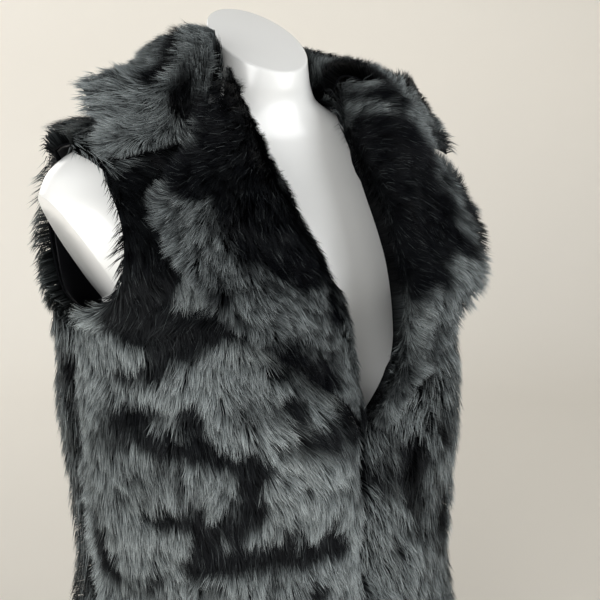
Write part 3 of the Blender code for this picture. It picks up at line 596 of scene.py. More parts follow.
def gorge_row(widths, side):
    """The lapel's top row along the collar's front end, and how firmly each point is held to it."""
    faces = collar_loop(float(side))
    along = along_axis((faces[0] + faces[1]) / 2)
    wanted = np.minimum(widths / NOTCH_WIDTH, 1.0) * (along[-1] - COLLAR_FRONT_EDGE)
    way = unit(collar_plan(1.0, NOTCH_REACH + 1e-4) - collar_plan(1.0, NOTCH_REACH - 1e-4))
    rows = []
    for face in faces:
        row = np.stack([np.interp(wanted, along, column) for column in face.T], axis=1)
        row[:, 2] -= GORGE_DROP * np.maximum(row[:, 2] - GORGE_DROP_Z, 0)
        row[:, :2] += turned_right(way) * LAPEL_GAP
        rows.append(row)
    return *rows, 1 - smooth_step((widths - NOTCH_WIDTH) / (1 - NOTCH_WIDTH))


def kept_ahead(points):
    """The lapel's points moved off the collar's front end where they would come closer than the gap."""
    plan = collar_plan(1.0, np.linspace(-0.01, 0.16, 140))
    ahead = turned_right(unit(np.gradient(plan, axis=0)))
    away = points[..., None, :2] - plan
    nearest = (away**2).sum(axis=-1).argmin(axis=-1)
    off = np.take_along_axis((away * ahead).sum(axis=-1), nearest[..., None], axis=-1)
    moved = points.copy()
    moved[..., :2] += ahead[nearest] * np.maximum(LAPEL_GAP - off, 0.0)
    return moved


def collar_ray(share):
    """Foot of a section on the neck seam and the way it points, drawn on the wearer's left."""
    turn = math.radians(COLLAR_HALF_SWEEP) * abs(share)
    ray = math.radians(COLLAR_RAY_SWEEP) * abs(share)
    half_x, half_y = NECK_SEAM_HALF
    foot = np.array([half_x * math.sin(turn), NECK_SEAM_Y + half_y * math.cos(turn)])
    return foot, np.array([math.sin(ray), math.cos(ray)])


def in_space(share, line):
    """Points of a collar section that is given as reach and height."""
    return np.concatenate([collar_plan(share, line[:, 0]), line[:, 1:]], axis=1)


def out_in_section(share, line, foot):
    """Ways in a collar section's plane that lead straight out from the vest at feet on it."""
    ahead = unit(collar_plan(share, line[:, 0] + 1e-4) - collar_plan(share, line[:, 0]))
    outward = VEST.outward(foot)
    way = np.stack([(outward[:, :2] * ahead).sum(axis=1), outward[:, 2]], axis=1)
    return way / np.maximum((way**2).sum(axis=1, keepdims=True), 0.3)


def section_over_pile(share, clear):
    """The body's section along a collar section, from the neck down, moved out from the vest."""
    z = np.linspace(0.712, 0.52, 90)
    reach = VEST.reach_at(lambda r: collar_plan(share, r), z)
    line = np.stack([reach, z], axis=1)
    return resampled(line + out_in_section(share, line, in_space(share, line)) * clear, 160)[0]


def collar_middle_line(share):
    """Middle of the folded collar wall along its section: reach and height, foot to outer edge."""
    top, fall, lift, sag = (float(v) for v in smooth_columns(COLLAR_SECTIONS, share))
    foot, _ = collar_ray(share)
    fold = COLLAR_FOLD_HALF
    ground = float(VEST.top_at(np.array(foot[0]), np.array(foot[1])))
    stand_top = top - COLLAR_WALL_HALF - fold
    start = ground + PANEL_LIFT + RIM + COLLAR_FOOT_CLEAR
    stand_z = np.linspace(start, stand_top, 6)
    stand = np.stack([(stand_z - start) * COLLAR_LEAN, stand_z], axis=1)
    turn = np.linspace(math.pi, 0, 7)[1:]
    bend = stand[-1] + [fold, 0.0] + fold * np.stack([np.cos(turn), np.sin(turn)], axis=1)
    rest = section_over_pile(share, PANEL_LIFT + PILE + COLLAR_WALL_HALF + COLLAR_CLEAR + lift)
    rest = rest[rest[:, 0] > bend[-1, 0] - 0.004]
    far = np.linalg.norm(rest - bend[-1], axis=1)
    last = int(np.argmax(far > fall)) if (far > fall).any() else len(rest) - 1
    chain = np.concatenate([bend[2:], rest[: last + 1]])
    taut = [0]
    while taut[-1] < len(chain) - 1:
        step = chain[taut[-1] + 1 :] - chain[taut[-1]]
        turned = np.arctan2(step[:, 1], np.maximum(step[:, 0], -1.0))
        taut.append(taut[-1] + 1 + int(np.argmax(turned)))
    line, along = resampled(chain[taut], 24)
    lying, _ = resampled(chain, 24)
    held = sag * smooth_step(along / 0.05)[:, None] * (1 - along / along[-1])[:, None] ** 0.5
    return np.concatenate([stand, bend[:2], line + (lying - line) * held])


def resampled(line, count):
    """A section's line drawn again with even steps, and how far along it they are."""
    along = along_axis(line)
    wanted = np.linspace(0, along[-1], count)
    return np.stack([np.interp(wanted, along, column) for column in line.T], axis=1), wanted


def collar_loop(share):
    """The two faces of the collar's wall along its section, drawn on the wearer's left."""
    line, along = resampled(collar_middle_line(share), 20)
    ease = 0.5 * (1 - smooth_step((along[1:-1] - 0.060) / 0.030))[:, None]
    line[1:-1] += ease * ((line[:-2] + line[2:]) / 2 - line[1:-1])
    side = -turned_right(unit(np.gradient(line, axis=0)))
    half = COLLAR_WALL_HALF * np.maximum(round_profile(along[-1] - along, COLLAR_EDGE_ROUND), 0.16)
    half *= np.maximum(round_profile(along, COLLAR_FOOT_ROUND), 0.14)
    outer = held_over_pile(share, line + side * half[:, None], COLLAR_FALL_HOLD)
    inner = held_over_pile(share, line - side * half[:, None], 0.0)
    return in_space(share, outer), in_space(share, inner)


def held_over_pile(share, face, more):
    """A face of the collar's section, moved out where it would come down into the body's pile."""
    for _ in range(3):
        place = in_space(share, face)
        foot = VEST.drop(place)
        high = np.linalg.norm(place - foot, axis=1) * np.sign(VEST.outside(place))
        pile = PANEL_LIFT + RIM + (PILE - RIM) * smooth_step(face[:, 0] / NECK_TAPER)
        wanted = pile + COLLAR_HOLD + more * smooth_step((face[:, 0] - 0.03) / 0.02)
        moved = np.maximum(wanted - high, 0.0) * smooth_step((face[:, 0] - 0.022) / 0.02)
        face = face + out_in_section(share, face, foot) * moved[:, None]
    return face


# How far the backing stops short of the fur's reach
BACKING_WALL = 0.0014
HEM_INSET = 0.013
ARM_INSET = 0.007
OPENING_INSET = 0.006
LAPEL_INSET = 0.009
COLLAR_INSET = 0.008
# How far the collar's grid stays off the neck seam and its front ends
COLLAR_GRID_INSET = 0.004
# The least pile over a backing
LEAST_PILE = 0.006
# How far single tips pass the edge of the pile
EDGE_TIPS = 0.0045
# Height in metres of the lumps that the pile's shading follows
PUFF = 0.012
PUFF_STEP = 0.002
# How far a blade wanders by itself
CURL = 0.0016
# Share of single strands lightened with a painted glint among the dark ones
SPARKLE = 0.05
# How much of the pile is coloured dark, in part the fur's own black and in part painted shade, and how dark
DARK_SHARE = 0.60
DARK_FLOOR = 0.035

# Turns of the nap: size in metres, share, and number of the noise
SWIRLS = ((0.085, 0.62, 11), (0.038, 0.50, 12), (0.016, 0.22, 13))
# Settings of the pile, in metres and shares
FUR_LOOK = {
    "lean": 0.0, "swirl": 1.0, "length": 0.018, "width": 0.00062, "tuft": 0.016, "wisp": 0.0040,
    "drawn": 2.2, "clump": 0.60, "loft": 0.98, "least": 0.004, "droop": 0.45, "tips": 1.0,
    "flare_reach": 0.016, "rim_share": 0.8, "narrow": 0.0, "rings": (0.0, 0.46, 1.0),
    "taper": (1.0, 0.85), "tone": None, "weight": None, "over": (),
}
# Base colours, and the linings behind the fur panels
BACKING_COLOUR = (0.0022, 0.0024, 0.0032)
SATIN_COLOUR = (0.008, 0.008, 0.010)
PLASTIC_COLOUR = (0.86, 0.87, 0.865)
LININGS = {
    "back_panel": "lining_back",
    "left_front": "lining_left_front",
    "right_front": "lining_right_front",
}

# Dark and light patches of the pile, in part the fur's own black and grey and in part painted sheen where the
# nap catches the light and painted shade in its valleys and beside the lapels and collar: degrees from the
# centre front, positive to the wearer's left, height, half size across, half size up, lean in degrees, and
# strength, below 0 where dark
BODY_PATCHES = (
    (-55, 0.541, 0.052, 0.021, 0, -1.0),
    (-62, 0.510, 0.026, 0.010, 0, -0.9),
    (-29, 0.505, 0.008, 0.006, 0, -0.7),
    (-10, 0.492, 0.006, 0.009, 0, -0.6),
    (-50, 0.479, 0.008, 0.012, 0, -0.8),
    (-67, 0.476, 0.011, 0.007, 0, -0.9),
    (-58, 0.458, 0.015, 0.009, -10, -1.0),
    (-45, 0.451, 0.022, 0.008, -14, -1.0),
    (-35, 0.431, 0.008, 0.026, 4, -1.0),
    (-58, 0.396, 0.020, 0.007, 6, -0.9),
    (-48, 0.386, 0.007, 0.014, 0, -0.9),
    (-38, 0.364, 0.036, 0.009, 6, -1.0),
    (-21, 0.366, 0.020, 0.009, 0, -0.9),
    (-12, 0.372, 0.010, 0.013, 0, -1.0),
    (-79, 0.352, 0.011, 0.024, 10, -0.9),
    (-17, 0.329, 0.009, 0.008, 0, -0.8),
    (-52, 0.300, 0.030, 0.010, 8, -0.9),
    (-30, 0.262, 0.014, 0.020, 0, -0.9),
    (-70, 0.245, 0.020, 0.012, -10, -0.9),
    (-45, 0.215, 0.026, 0.009, 0, -0.8),
    (17, 0.428, 0.011, 0.014, 20, -0.9),
    (28, 0.497, 0.007, 0.012, 0, -0.7),
    (40, 0.350, 0.012, 0.030, 0, -0.8),
    (20, 0.270, 0.020, 0.012, 0, -0.8),
    (58, 0.440, 0.014, 0.040, 0, -0.8),
    (-65, 0.610, 0.024, 0.055, 0, -1.0),
    (65, 0.610, 0.024, 0.055, 0, -1.0),
    (-90, 0.460, 0.010, 0.030, 0, -0.8),
    (-93, 0.525, 0.012, 0.014, 0, -0.9),
    (-93, 0.478, 0.008, 0.012, 0, -0.9),
)
LAPEL_PATCHES = (
    (-37, 0.672, 0.030, 0.046, -30, -0.70),
    (-44, 0.715, 0.020, 0.025, 0, -0.55),
    (-35, 0.624, 0.022, 0.028, 0, -0.85),
    (-21, 0.604, 0.022, 0.032, -20, -0.9),
    (-48, 0.646, 0.018, 0.011, 0, -0.8),
    (-53, 0.616, 0.020, 0.016, 0, 0.20),
    (-46, 0.590, 0.022, 0.016, 0, 0.10),
    (-30, 0.558, 0.036, 0.022, -25, 0.40),
    (28, 0.605, 0.058, 0.050, 0, -0.9),
    (44, 0.622, 0.014, 0.026, 0, 0.6),
    (32, 0.660, 0.030, 0.025, 0, -0.8),
    (24, 0.690, 0.030, 0.030, 0, -0.7),
    (22, 0.545, 0.030, 0.014, 0, 0.4),
    (36, 0.650, 0.018, 0.006, 0, 0.3),
    (38, 0.715, 0.040, 0.020, 0, -0.35),
)
COLLAR_PATCHES = (
    (-61, 0.728, 0.026, 0.026, 0, 0.6),
    (-77, 0.704, 0.018, 0.022, 0, 0.5),
    (-71, 0.734, 0.010, 0.020, 0, -0.9),
    (-62, 0.710, 0.010, 0.013, 0, -0.8),
    (-57, 0.696, 0.012, 0.009, 0, -0.5),
    (-70, 0.682, 0.036, 0.012, 0, 0.4),
    (50, 0.730, 0.030, 0.030, 0, -0.8),
    (76, 0.692, 0.018, 0.014, 0, 0.3),
    (66, 0.735, 0.020, 0.016, 0, -0.6),
    (82, 0.715, 0.030, 0.012, 0, -0.5),
    (100, 0.740, 0.030, 0.020, 0, -0.7),
)


def lattice(cells, seed):
    """A steady random number from 0 to 1 for each whole-numbered place."""
    cells = cells.astype(np.int64)
    mixed = cells[..., 0] * 73856093 ^ cells[..., 1] * 19349663 ^ cells[..., 2] * 83492791
    mixed = (mixed ^ (seed * 2654435761)) & 0xFFFFFFFF
    mixed = ((mixed >> 15) ^ mixed) * 2246822519 & 0xFFFFFFFF
    mixed = ((mixed >> 13) ^ mixed) * 3266489917 & 0xFFFFFFFF
    return ((mixed >> 16) ^ mixed) / 4294967296.0


def noise(points, size, seed):
    """Smooth noise from -1 to 1 over points, with bumps about as wide as size."""
    place = points / size + 37.0
    cell = np.floor(place)
    part = smooth_step(place - cell)
    total = np.zeros(points.shape[:-1])
    for corner in range(8):
        step = np.array([corner & 1, corner >> 1 & 1, corner >> 2 & 1])
        weight = np.where(step == 1, part, 1 - part).prod(axis=-1)
        total += weight * lattice(cell + step, seed)
    return 2 * total - 1


def nearest_clump(place, size, seed):
    """For places on the cloth, the way to the nearest tuft's middle and that tuft's own number."""
    cell = np.floor(place / size)
    best = np.full(len(place), 1e9)
    way = np.zeros_like(place)
    own = np.zeros(len(place))
    for di in (-1, 0, 1):
        for dj in (-1, 0, 1):
            there = cell + np.array([di, dj])
            key = np.concatenate([there, np.full((len(place), 1), seed)], axis=1)
            shift = np.stack([lattice(key, seed + 1), lattice(key, seed + 2)], axis=1)
            to = (there + shift) * size - place
            far = (to**2).sum(axis=1)
            closer = far < best
            best = np.where(closer, far, best)
            way[closer] = to[closer]
            own = np.where(closer, lattice(key, seed + 3), own)
    return way, own


def patch_tone(points, table):
    """Sum of the listed patches at points."""
    angle = np.degrees(np.arctan2(points[:, 0], -points[:, 1]))
    total = np.zeros(len(points))
    for middle, height, wide, tall, lean, strength in table:
        across_it = np.radians(angle - middle) * 0.165
        up = points[:, 2] - height
        cosine, sine = math.cos(math.radians(lean)), math.sin(math.radians(lean))
        a = (across_it * cosine + up * sine) / wide
        b = (up * cosine - across_it * sine) / tall
        total += strength * np.exp(-((0.8 * (a * a + b * b)) ** 2.2))
    return total


def placed(name, data):
    """A new object in the scene."""
    made = bpy.data.objects.new(name, data)
    bpy.context.scene.collection.objects.link(made)
    return made


def new_object(name, points, faces, material):
    """A new smooth object of the part."""
    mesh = bpy.data.meshes.new(name)
    mesh.from_pydata(points.tolist(), [], faces)
    mesh.materials.append(material)
    mesh.shade_smooth()
    made = placed(name, mesh)
    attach(made, "root")
    return made


def cloth_shell(name, sheet, outward, wall, material):
    """A thin closed wall whose outer face is the sheet."""
    made = new_object(name, *solid_from_sheets(sheet, sheet - outward * wall), material)
    made.data.set_sharp_from_angle(angle=math.radians(60))
    return made


def sheet_normals(sheet, towards):
    """Unit normals of a grid of points, on the side that towards points to."""
    across_it = np.gradient(sheet, axis=1)
    along = np.gradient(sheet, axis=0)
    normal = np.cross(across_it, along)
    normal /= np.maximum(np.linalg.norm(normal, axis=-1, keepdims=True), 1e-12)
    flip = np.sign((normal * towards).sum(axis=-1, keepdims=True))
    return normal * np.where(flip == 0, 1, flip)


def flat_size(sheet):
    """Width, length and area of a sheet laid flat."""
    wide = np.linalg.norm(np.diff(sheet, axis=1), axis=-1).sum(axis=1).max()
    tall = np.linalg.norm(np.diff(sheet, axis=0), axis=-1).sum(axis=0).max()
    a = sheet[1:, :-1] - sheet[:-1, :-1]
    b = sheet[:-1, 1:] - sheet[:-1, :-1]
    c = sheet[1:, :-1] - sheet[1:, 1:]
    d = sheet[:-1, 1:] - sheet[1:, 1:]
    area = np.linalg.norm(np.cross(a, b), axis=-1).sum() / 2
    area += np.linalg.norm(np.cross(c, d), axis=-1).sum() / 2
    return float(wide), float(tall), float(area)


def inset_rows(values, first, last):
    """Each row of the grids squeezed between shares of its own width."""
    count = values[0].shape[1]
    even = np.linspace(0, 1, count)
    made = []
    for grid in values:
        rows = [np.interp(a + (1 - a - b) * even, even, row) for row, a, b in zip(grid, first, last)]
        made.append(np.array(rows))
    return made


def body_sheets(which, side, rows, columns):
    """Root and tip grids of a body panel, from the hem up, and what is known at each point."""
    turn = (1 - np.cos(np.linspace(0, math.pi, rows // 3))) / 2
    low = np.linspace(HEM_Z + HEM_INSET, ARMPIT_Z - 0.002, rows - rows // 3)
    arm = ARMPIT_Z + 0.001 + (SHOULDER_TIP_Z - ARMPIT_Z - 0.002) * turn
    grids = panel_grid(which, side, np.concatenate([low, arm]), columns)
    level, length = grids[1].mean(axis=1), grids[2][:, -1]
    open_arm = armhole_openness(level, 0.016)
    near = open_arm * ARM_INSET if which == "back" else opened(level) * OPENING_INSET + 0.001
    grids = inset_rows(grids, near / length, open_arm * ARM_INSET / length)
    angle, z, from_start, from_stop = grids
    base = VEST.at(angle, z)
    outward = VEST.outward(base)
    pile = np.maximum(pile_height(which, base, from_start, from_stop), LEAST_PILE)
    fold = fold_height(side * angle, z)
    levels = (PANEL_LIFT + BACKING_WALL, PANEL_LIFT + pile, LINING_CLEAR + LINING_WALL)
    root, tip, lining = (base + outward * (level + fold)[..., None] for level in levels)
    from_hem, from_neck = from_ends(base)
    ones = np.ones(z.shape)
    edges = (
        (from_start, armhole_openness(z) if which == "back" else opened(z)),
        (from_stop, armhole_openness(z)),
        (from_hem + HEM_INSET, ones),
        (from_neck, 0 * ones),
    )
    if side < 0:
        root, tip, outward, lining = (mirrored(grid) for grid in (root, tip, outward, lining))
    return Sheets(root, tip, outward, edges, lining)


def lapel_sheets(side, rows, columns):
    """Root and tip grids of a lapel, from the break up, the roll first in each row."""
    shares = np.concatenate([np.linspace(0, 0.9, rows - 8), np.linspace(0.915, 1.0, 8)])
    roll, edge = lapel_lines(shares, side)
    length = np.linalg.norm(edge - roll, axis=1)
    inset = np.minimum(LAPEL_INSET, 0.2 * length) / length
    widths = inset[:, None] + (1 - 2 * inset)[:, None] * np.linspace(0, 1, columns)
    ground = lapel_surface(shares, widths, side)
    start = (inset * length)[:, None]
    from_roll = start + along_axis(ground, 1)
    from_edge = from_roll[:, -1:] - from_roll + start
    from_top = ((1 - shares) * along_axis(roll)[-1])[:, None]
    nose = np.minimum(LAPEL_NOSE, 0.45 * length)[:, None]
    edge_round = np.minimum(LAPEL_EDGE_ROUND, 0.45 * length)[:, None]

    setback = ROLL_SETBACK * turned_back(ground[..., 2] - 0.006) - 0.003
    panel_shape = round_profile(from_roll - setback, EDGE_ROUND)
    panel_top = PANEL_LIFT + RIM + (PILE - RIM) * panel_shape
    ridge = smooth_columns(LAPEL_RIDGE, shares)[0][:, None]
    flat_top = np.minimum(PANEL_LIFT + PILE + LAPEL_CLEAR + LAPEL_WALL, ridge)
    run = np.maximum(from_roll[:, -1:] - 0.030, 0.02)
    fade = 1 - smooth_step((from_roll - 0.018) / np.minimum(run, 0.075))
    top = flat_top + (ridge - flat_top) * fade
    over = LAPEL_ROLL_OVER + (top - LAPEL_ROLL_OVER) * round_profile(from_roll, nose)
    raised = smooth_step((from_roll - 0.008) / 0.020)
    under = LAPEL_ROLL_UNDER + (top - LAPEL_WALL - LAPEL_ROLL_UNDER) * raised
    under = np.maximum(under, np.where(from_roll > 0.006, panel_top + LAPEL_CLEAR, 0.0))
    over = np.maximum(over, under + LAPEL_LEAST_WALL)
    closing = round_profile(from_edge, edge_round) * round_profile(from_top + 0.0012, 0.010)
    middle = (under + over) / 2
    half = np.maximum((over - under) / 2 * closing, LAPEL_LEAST_WALL / 2)
    off = smooth_step((shares - 0.25) / 0.5)[:, None] * smooth_step((widths - 0.3) / 0.7)
    middle = middle + LAPEL_TIP_LIFT * off

    outward = VEST.outward(ground)
    reach = np.minimum(widths[-1] / NOTCH_WIDTH, 1.0) * NOTCH_REACH
    ahead = collar_plan(1.0, reach + 1e-4) - collar_plan(1.0, reach)
    across_it = np.insert(turned_right(unit(ahead)), 2, 0.0, axis=1)
    in_plane = outward - (outward * across_it).sum(axis=-1, keepdims=True) * across_it
    late = smooth_step((shares - 0.55) / 0.45)[:, None, None]
    rise = 2.0 * late * (1 - smooth_step(widths / 0.6))[..., None]
    way = unit(outward * (1 - late) + in_plane * late + np.array([0.0, 0.0, 1.0]) * rise)
    low = ground + way * (middle - half)[..., None]
    high = ground + way * (middle + half)[..., None]
    joined_high, joined_low, hold = gorge_row(widths[-1], side)
    blend = smooth_step((shares - 0.60) / 0.40)[:, None, None] * hold[None, :, None]
    low = kept_ahead(low + (joined_low - low[-1]) * blend)
    high = kept_ahead(high + (joined_high - high[-1]) * blend)

    root = low + (high - low) * LAPEL_ROOT_SHARE
    spare = np.linalg.norm(high - root, axis=-1, keepdims=True)
    lifted = root + (high - root) * np.maximum(spare, LEAST_PILE) / np.maximum(spare, 1e-6)
    ones = np.ones(from_roll.shape)
    edges = (
        (from_roll, ones),
        (from_edge, ones),
        (ones, 0 * ones),
        (from_top * ones, smooth_step((widths - NOTCH_WIDTH) / 0.1)),
    )
    keep = slice(1, -2)
    root, tip = root[keep], lifted[keep]
    edges = [(far[keep], free[keep]) for far, free in edges]
    if side < 0:
        root, tip = mirrored(root), mirrored(tip)
    return Sheets(root, tip, sheet_normals(root, tip - root), edges)


def resampled_face(face, count, first, last):
    """A line of points drawn again with even steps, from first to last metres off its ends."""
    length = along_axis(face)[-1]
    return along_line(face, np.linspace(first, length - last, count) / length)


def collar_sheets(rows, columns):
    """Root and tip grids of the collar, from the fall's edge to the neck seam, right end first."""
    faces = []
    for share in np.linspace(-0.985, 0.985, columns):
        pair = collar_loop(float(share))
        pair = [resampled_face(face, rows, COLLAR_GRID_INSET, COLLAR_INSET) for face in pair]
        faces.append([mirrored(face) if share < 0 else face for face in pair])
    visible, hidden = np.array(faces).transpose(1, 2, 0, 3)[:, ::-1]
    root = hidden + (visible - hidden) * COLLAR_ROOT_SHARE
    from_edge, from_foot = from_ends(root)
    along = along_axis(root, 1)
    ones = np.ones(along.shape)
    fall = smooth_step((0.090 - from_edge) / 0.020)
    edges = (
        (along + COLLAR_GRID_INSET, fall),
        (along[:, -1:] - along + COLLAR_GRID_INSET, fall),
        (from_edge + COLLAR_INSET, ones),
        (from_foot, 0 * ones),
    )
    return Sheets(root, visible, sheet_normals(root, visible - hidden), edges)


def grow_fur(name, sheets, count, pieces, seed, look, material):
    """Blades of pile over a panel: each is a tapered ribbon in tufts that lie the way of the nap."""
    root, tip, edges = sheets.root, sheets.tip, sheets.edges
    columns = root.shape[1]
    rng = np.random.default_rng(seed)

    def beside(far, free, least):
        return free * (1 - smooth_step((far - least) / look.flare_reach))

    corner = root[:-1, :-1]
    area = np.linalg.norm(np.cross(root[1:, :-1] - corner, root[:-1, 1:] - corner), axis=-1)
    for far, free in edges:
        area = area * (1 + look.rim_share * beside(far, free, far.min())[:-1, :-1])
    if look.weight:
        area = area * look.weight(corner)
    chance = area.ravel() / area.sum()
    r, c = np.divmod(np.sort(rng.choice(chance.size, size=count, p=chance)), columns - 1)
    s, t = rng.random(count), rng.random(count)
    weights = ((1 - s) * (1 - t), (1 - s) * t, s * (1 - t), s * t)

    def at(grid):
        corners = (grid[r, c], grid[r, c + 1], grid[r + 1, c], grid[r + 1, c + 1])
        return sum((w if grid.ndim == 2 else w[:, None]) * v for w, v in zip(weights, corners))

    def square_to(way, *others):
        for other in others:
            way = way - other * (way * other).sum(axis=1, keepdims=True)
        return unit(way)

    def lumps(points):
        return noise(points, 0.042, seed + 41) + 0.45 * noise(points, 0.019, seed + 42)

    foot, top = at(root), at(tip)
    normal = unit(top - foot)
    surface = unit(at(sheets.outward))
    depth = np.linalg.norm(top - foot, axis=1)
    up = square_to(unit(at(np.gradient(root, axis=0))), surface)
    sideways = square_to(at(np.gradient(root, axis=1)), surface, up)

    place_a = along_axis(root, 1)
    place_a -= place_a[:, columns // 2 : columns // 2 + 1]
    place = np.stack([at(place_a), at(along_axis(root))], axis=1)
    swirl = sum(share * noise(foot, size, seed + k) for size, share, k in SWIRLS)
    tuft_way, tuft = nearest_clump(place, look.tuft, seed + 21)
    wisp_way, wisp = nearest_clump(place / [1.0, look.drawn] + 0.3, look.wisp, seed + 31)
    parting = (wisp_way**2).sum(axis=1) / (0.62 * look.wisp) ** 2
    turn = look.lean + look.swirl * swirl + 0.50 * (tuft - 0.5) + 0.28 * (wisp - 0.5)
    turn = turn + 0.12 * rng.normal(size=count)
    nap = -up * np.cos(turn)[:, None] + sideways * np.sin(turn)[:, None]

    flare, low, spare = np.zeros((count, 3)), np.ones(count), np.ones(count)
    for (far, free), way in zip(edges, (-sideways, sideways, -up, up)):
        close = beside(at(far), at(free), far.min())
        flare += way * close[:, None]
        low = np.minimum(low, 1 - look.droop * close)
        spare = np.minimum(spare, np.where(close > 0.02, at(far), 1.0))
    flared = np.minimum(np.linalg.norm(flare, axis=1), 1.0)

    lump = lumps(foot)
    slope_up = (lumps(foot + up * PUFF_STEP) - lump) / PUFF_STEP
    slope_across = (lumps(foot + sideways * PUFF_STEP) - lump) / PUFF_STEP
    puffed = unit(surface - PUFF * (up * slope_up[:, None] + sideways * slope_across[:, None]))
    loft = look.loft + 0.22 * lump + 0.16 * (tuft - 0.5) + 0.20 * (wisp - 0.5)
    loft = np.clip(loft + 0.07 * rng.normal(size=count), 0.35, 1.2)
    rise = np.maximum(depth, 0.004 * flared + look.least) * loft * low
    reach = look.length * (0.82 + 0.30 * rng.random(count))
    narrow = look.narrow * smooth_step((foot[:, 2] - 0.30) / 0.05)
    narrow = narrow * (1 - smooth_step((foot[:, 2] - 0.47) / 0.07))
    tips = EDGE_TIPS * (1.5 * wisp + 0.5 * rng.random(count) - 0.4)
    held = np.minimum(reach, (spare + look.tips * tips * (1 - narrow)) * (1 - 0.6 * narrow))
    reach = reach + (held - reach) * flared
    # How far each blade is from the lapels' and collar's edges: the pile is lowered there, and below its tone
    # is darkened with painted shade
    shade_line = under_edges(foot, look.over)
    rise = rise * (0.60 + 0.40 * shade_line)
    flow = unit(nap * (1 - 0.75 * flared)[:, None] + flare * 1.1 + 1e-6)
    drawn_in = wisp_way + 0.30 * tuft_way
    pull = look.clump * (drawn_in[:, :1] * sideways + drawn_in[:, 1:] * up)
    curl = unit(rng.normal(size=(count, 3))) * CURL

    line = []
    for share in look.rings:
        height = rise * (math.sin(min(share * 1.15, 1.0) * math.pi / 2) ** 0.9)
        height = height - rise * 0.06 * max(share - 0.7, 0) / 0.3 * (1 - flared)
        ahead = reach * (0.25 * share + 0.75 * share**1.8)
        point = foot + normal * height[:, None] + flow * ahead[:, None]
        line.append(point + pull * share**1.2 + curl * share**1.5)
    line = np.array(line)
    way = unit(np.gradient(line, axis=0))
    roll = rng.normal(scale=0.45, size=count)[None, :, None]
    flat_way = unit(np.cross(way, surface[None]))
    flat_way = flat_way * np.cos(roll) + np.cross(way, flat_way) * np.sin(roll)
    width = look.width * (0.75 + 0.5 * rng.random(count))
    bend = unit(puffed[None] - way * (puffed[None] * way).sum(axis=-1, keepdims=True) * 0.75)

    # Painted shade: the tone darkens beside the lapels' and collar's edges, where they would shade the pile
    # below
    tone = look.tone(foot, tuft, wisp) * (0.30 + 0.70 * shade_line)
    # Painted shade in the partings between wisps, the tone falling off towards each wisp's rim, and a random
    # jitter of tone
    tone = tone * (1.18 - 0.42 * np.minimum(parting, 1.0)) * (1 + 0.38 * rng.normal(size=count))
    # Painted glints: a few single strands lightened as if they caught the light
    glint_strand = rng.random(count) < SPARKLE
    tone = np.where(glint_strand, np.maximum(tone, 0.08 + 0.22 * rng.random(count)), tone)
    tone = np.clip(tone, 0.006, 0.99)[:, None]

    points, shade, coords = [], [], []
    for k, share in enumerate(look.rings[:-1]):
        for sign in (-1, 1):
            points.append(line[k] + sign * flat_way[k] * (width * look.taper[k] / 2)[:, None])
            shade.append(unit(bend[k] + sign * flat_way[k] * 0.35))
            coords.append(np.insert(tone + sign * 0.004, 1, 0.02 + 0.96 * share, axis=1))
    points = np.stack([*points, line[-1]], axis=1)
    shade = np.stack([*shade, bend[-1]], axis=1)
    coords = np.stack([*coords, np.insert(tone - 0.004, 1, 0.98, axis=1)], axis=1)
    triangles = []
    for i in range(0, points.shape[1] - 3, 2):
        triangles += [(i, i + 1, i + 3), (i, i + 3, i + 2)]
    triangles = np.array([*triangles, (i + 2, i + 3, i + 4)])

    made = []
    pick = np.argsort(np.argsort(foot[:, 2])) * pieces // count
    for number in range(pieces):
        chosen = pick == number
        title = name if pieces == 1 else f"{name}_{number + 1}"
        made.append(blade_object(title, points[chosen], coords[chosen], shade[chosen], triangles, material))
    return made


def under_edges(foot, lines):
    """From 0 right beside a lapel's or the collar's edge to 1 a thumb's width away from it."""
    near = np.full(len(foot), 1.0)
    for point in lines:
        near = np.minimum(near, ((foot - point) ** 2).sum(axis=1))
    return smooth_step((np.sqrt(near) - 0.006) / 0.020)


def blade_object(name, points, coords, shade, triangles, material):
    """One joined mesh of blades, with their tone and share of length in its map."""
    count, size, _ = points.shape
    corners = (np.arange(count)[:, None, None] * size + triangles[None]).reshape(-1)
    faces = len(corners) // 3
    mesh = bpy.data.meshes.new(name)
    mesh.vertices.add(count * size)
    mesh.vertices.foreach_set("co", points.reshape(-1).astype(np.float32))
    mesh.loops.add(faces * 3)
    mesh.loops.foreach_set("vertex_index", corners.astype(np.int32))
    mesh.polygons.add(faces)
    mesh.polygons.foreach_set("loop_start", np.arange(0, faces * 3, 3, dtype=np.int32))
    mesh.polygons.foreach_set("loop_total", np.full(faces, 3, dtype=np.int32))
    mesh.update(calc_edges=True)
    layer = mesh.uv_layers.new(name="OFBake")
    layer.data.foreach_set("uv", coords.reshape(-1, 2)[corners].reshape(-1).astype(np.float32))
    mesh.shade_smooth()
    mesh.normals_split_custom_set_from_vertices(shade.reshape(-1, 3).tolist())
    mesh.materials.append(material)
    made = placed(name, mesh)
    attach(made, "root")
    return made


def node_material(name, roughness, gloss):
    """A new material, with its nodes, links and shader."""
    material = bpy.data.materials.new(name)
    material.use_nodes = True
    nodes = material.node_tree.nodes
    shader = nodes["Principled BSDF"]
    shader.inputs["Roughness"].default_value = roughness
    shader.inputs["Specular IOR Level"].default_value = gloss
    return material, nodes, material.node_tree.links, shader


def ramp(nodes, stops):
    made = nodes.new("ShaderNodeValToRGB")
    elements = made.color_ramp.elements
    while len(elements) > 1:
        elements.remove(elements[-1])
    elements[0].position, elements[0].color = stops[0][0], (*stops[0][1], 1)
    for place, colour in stops[1:]:
        elements.new(place).color = (*colour, 1)
    return made


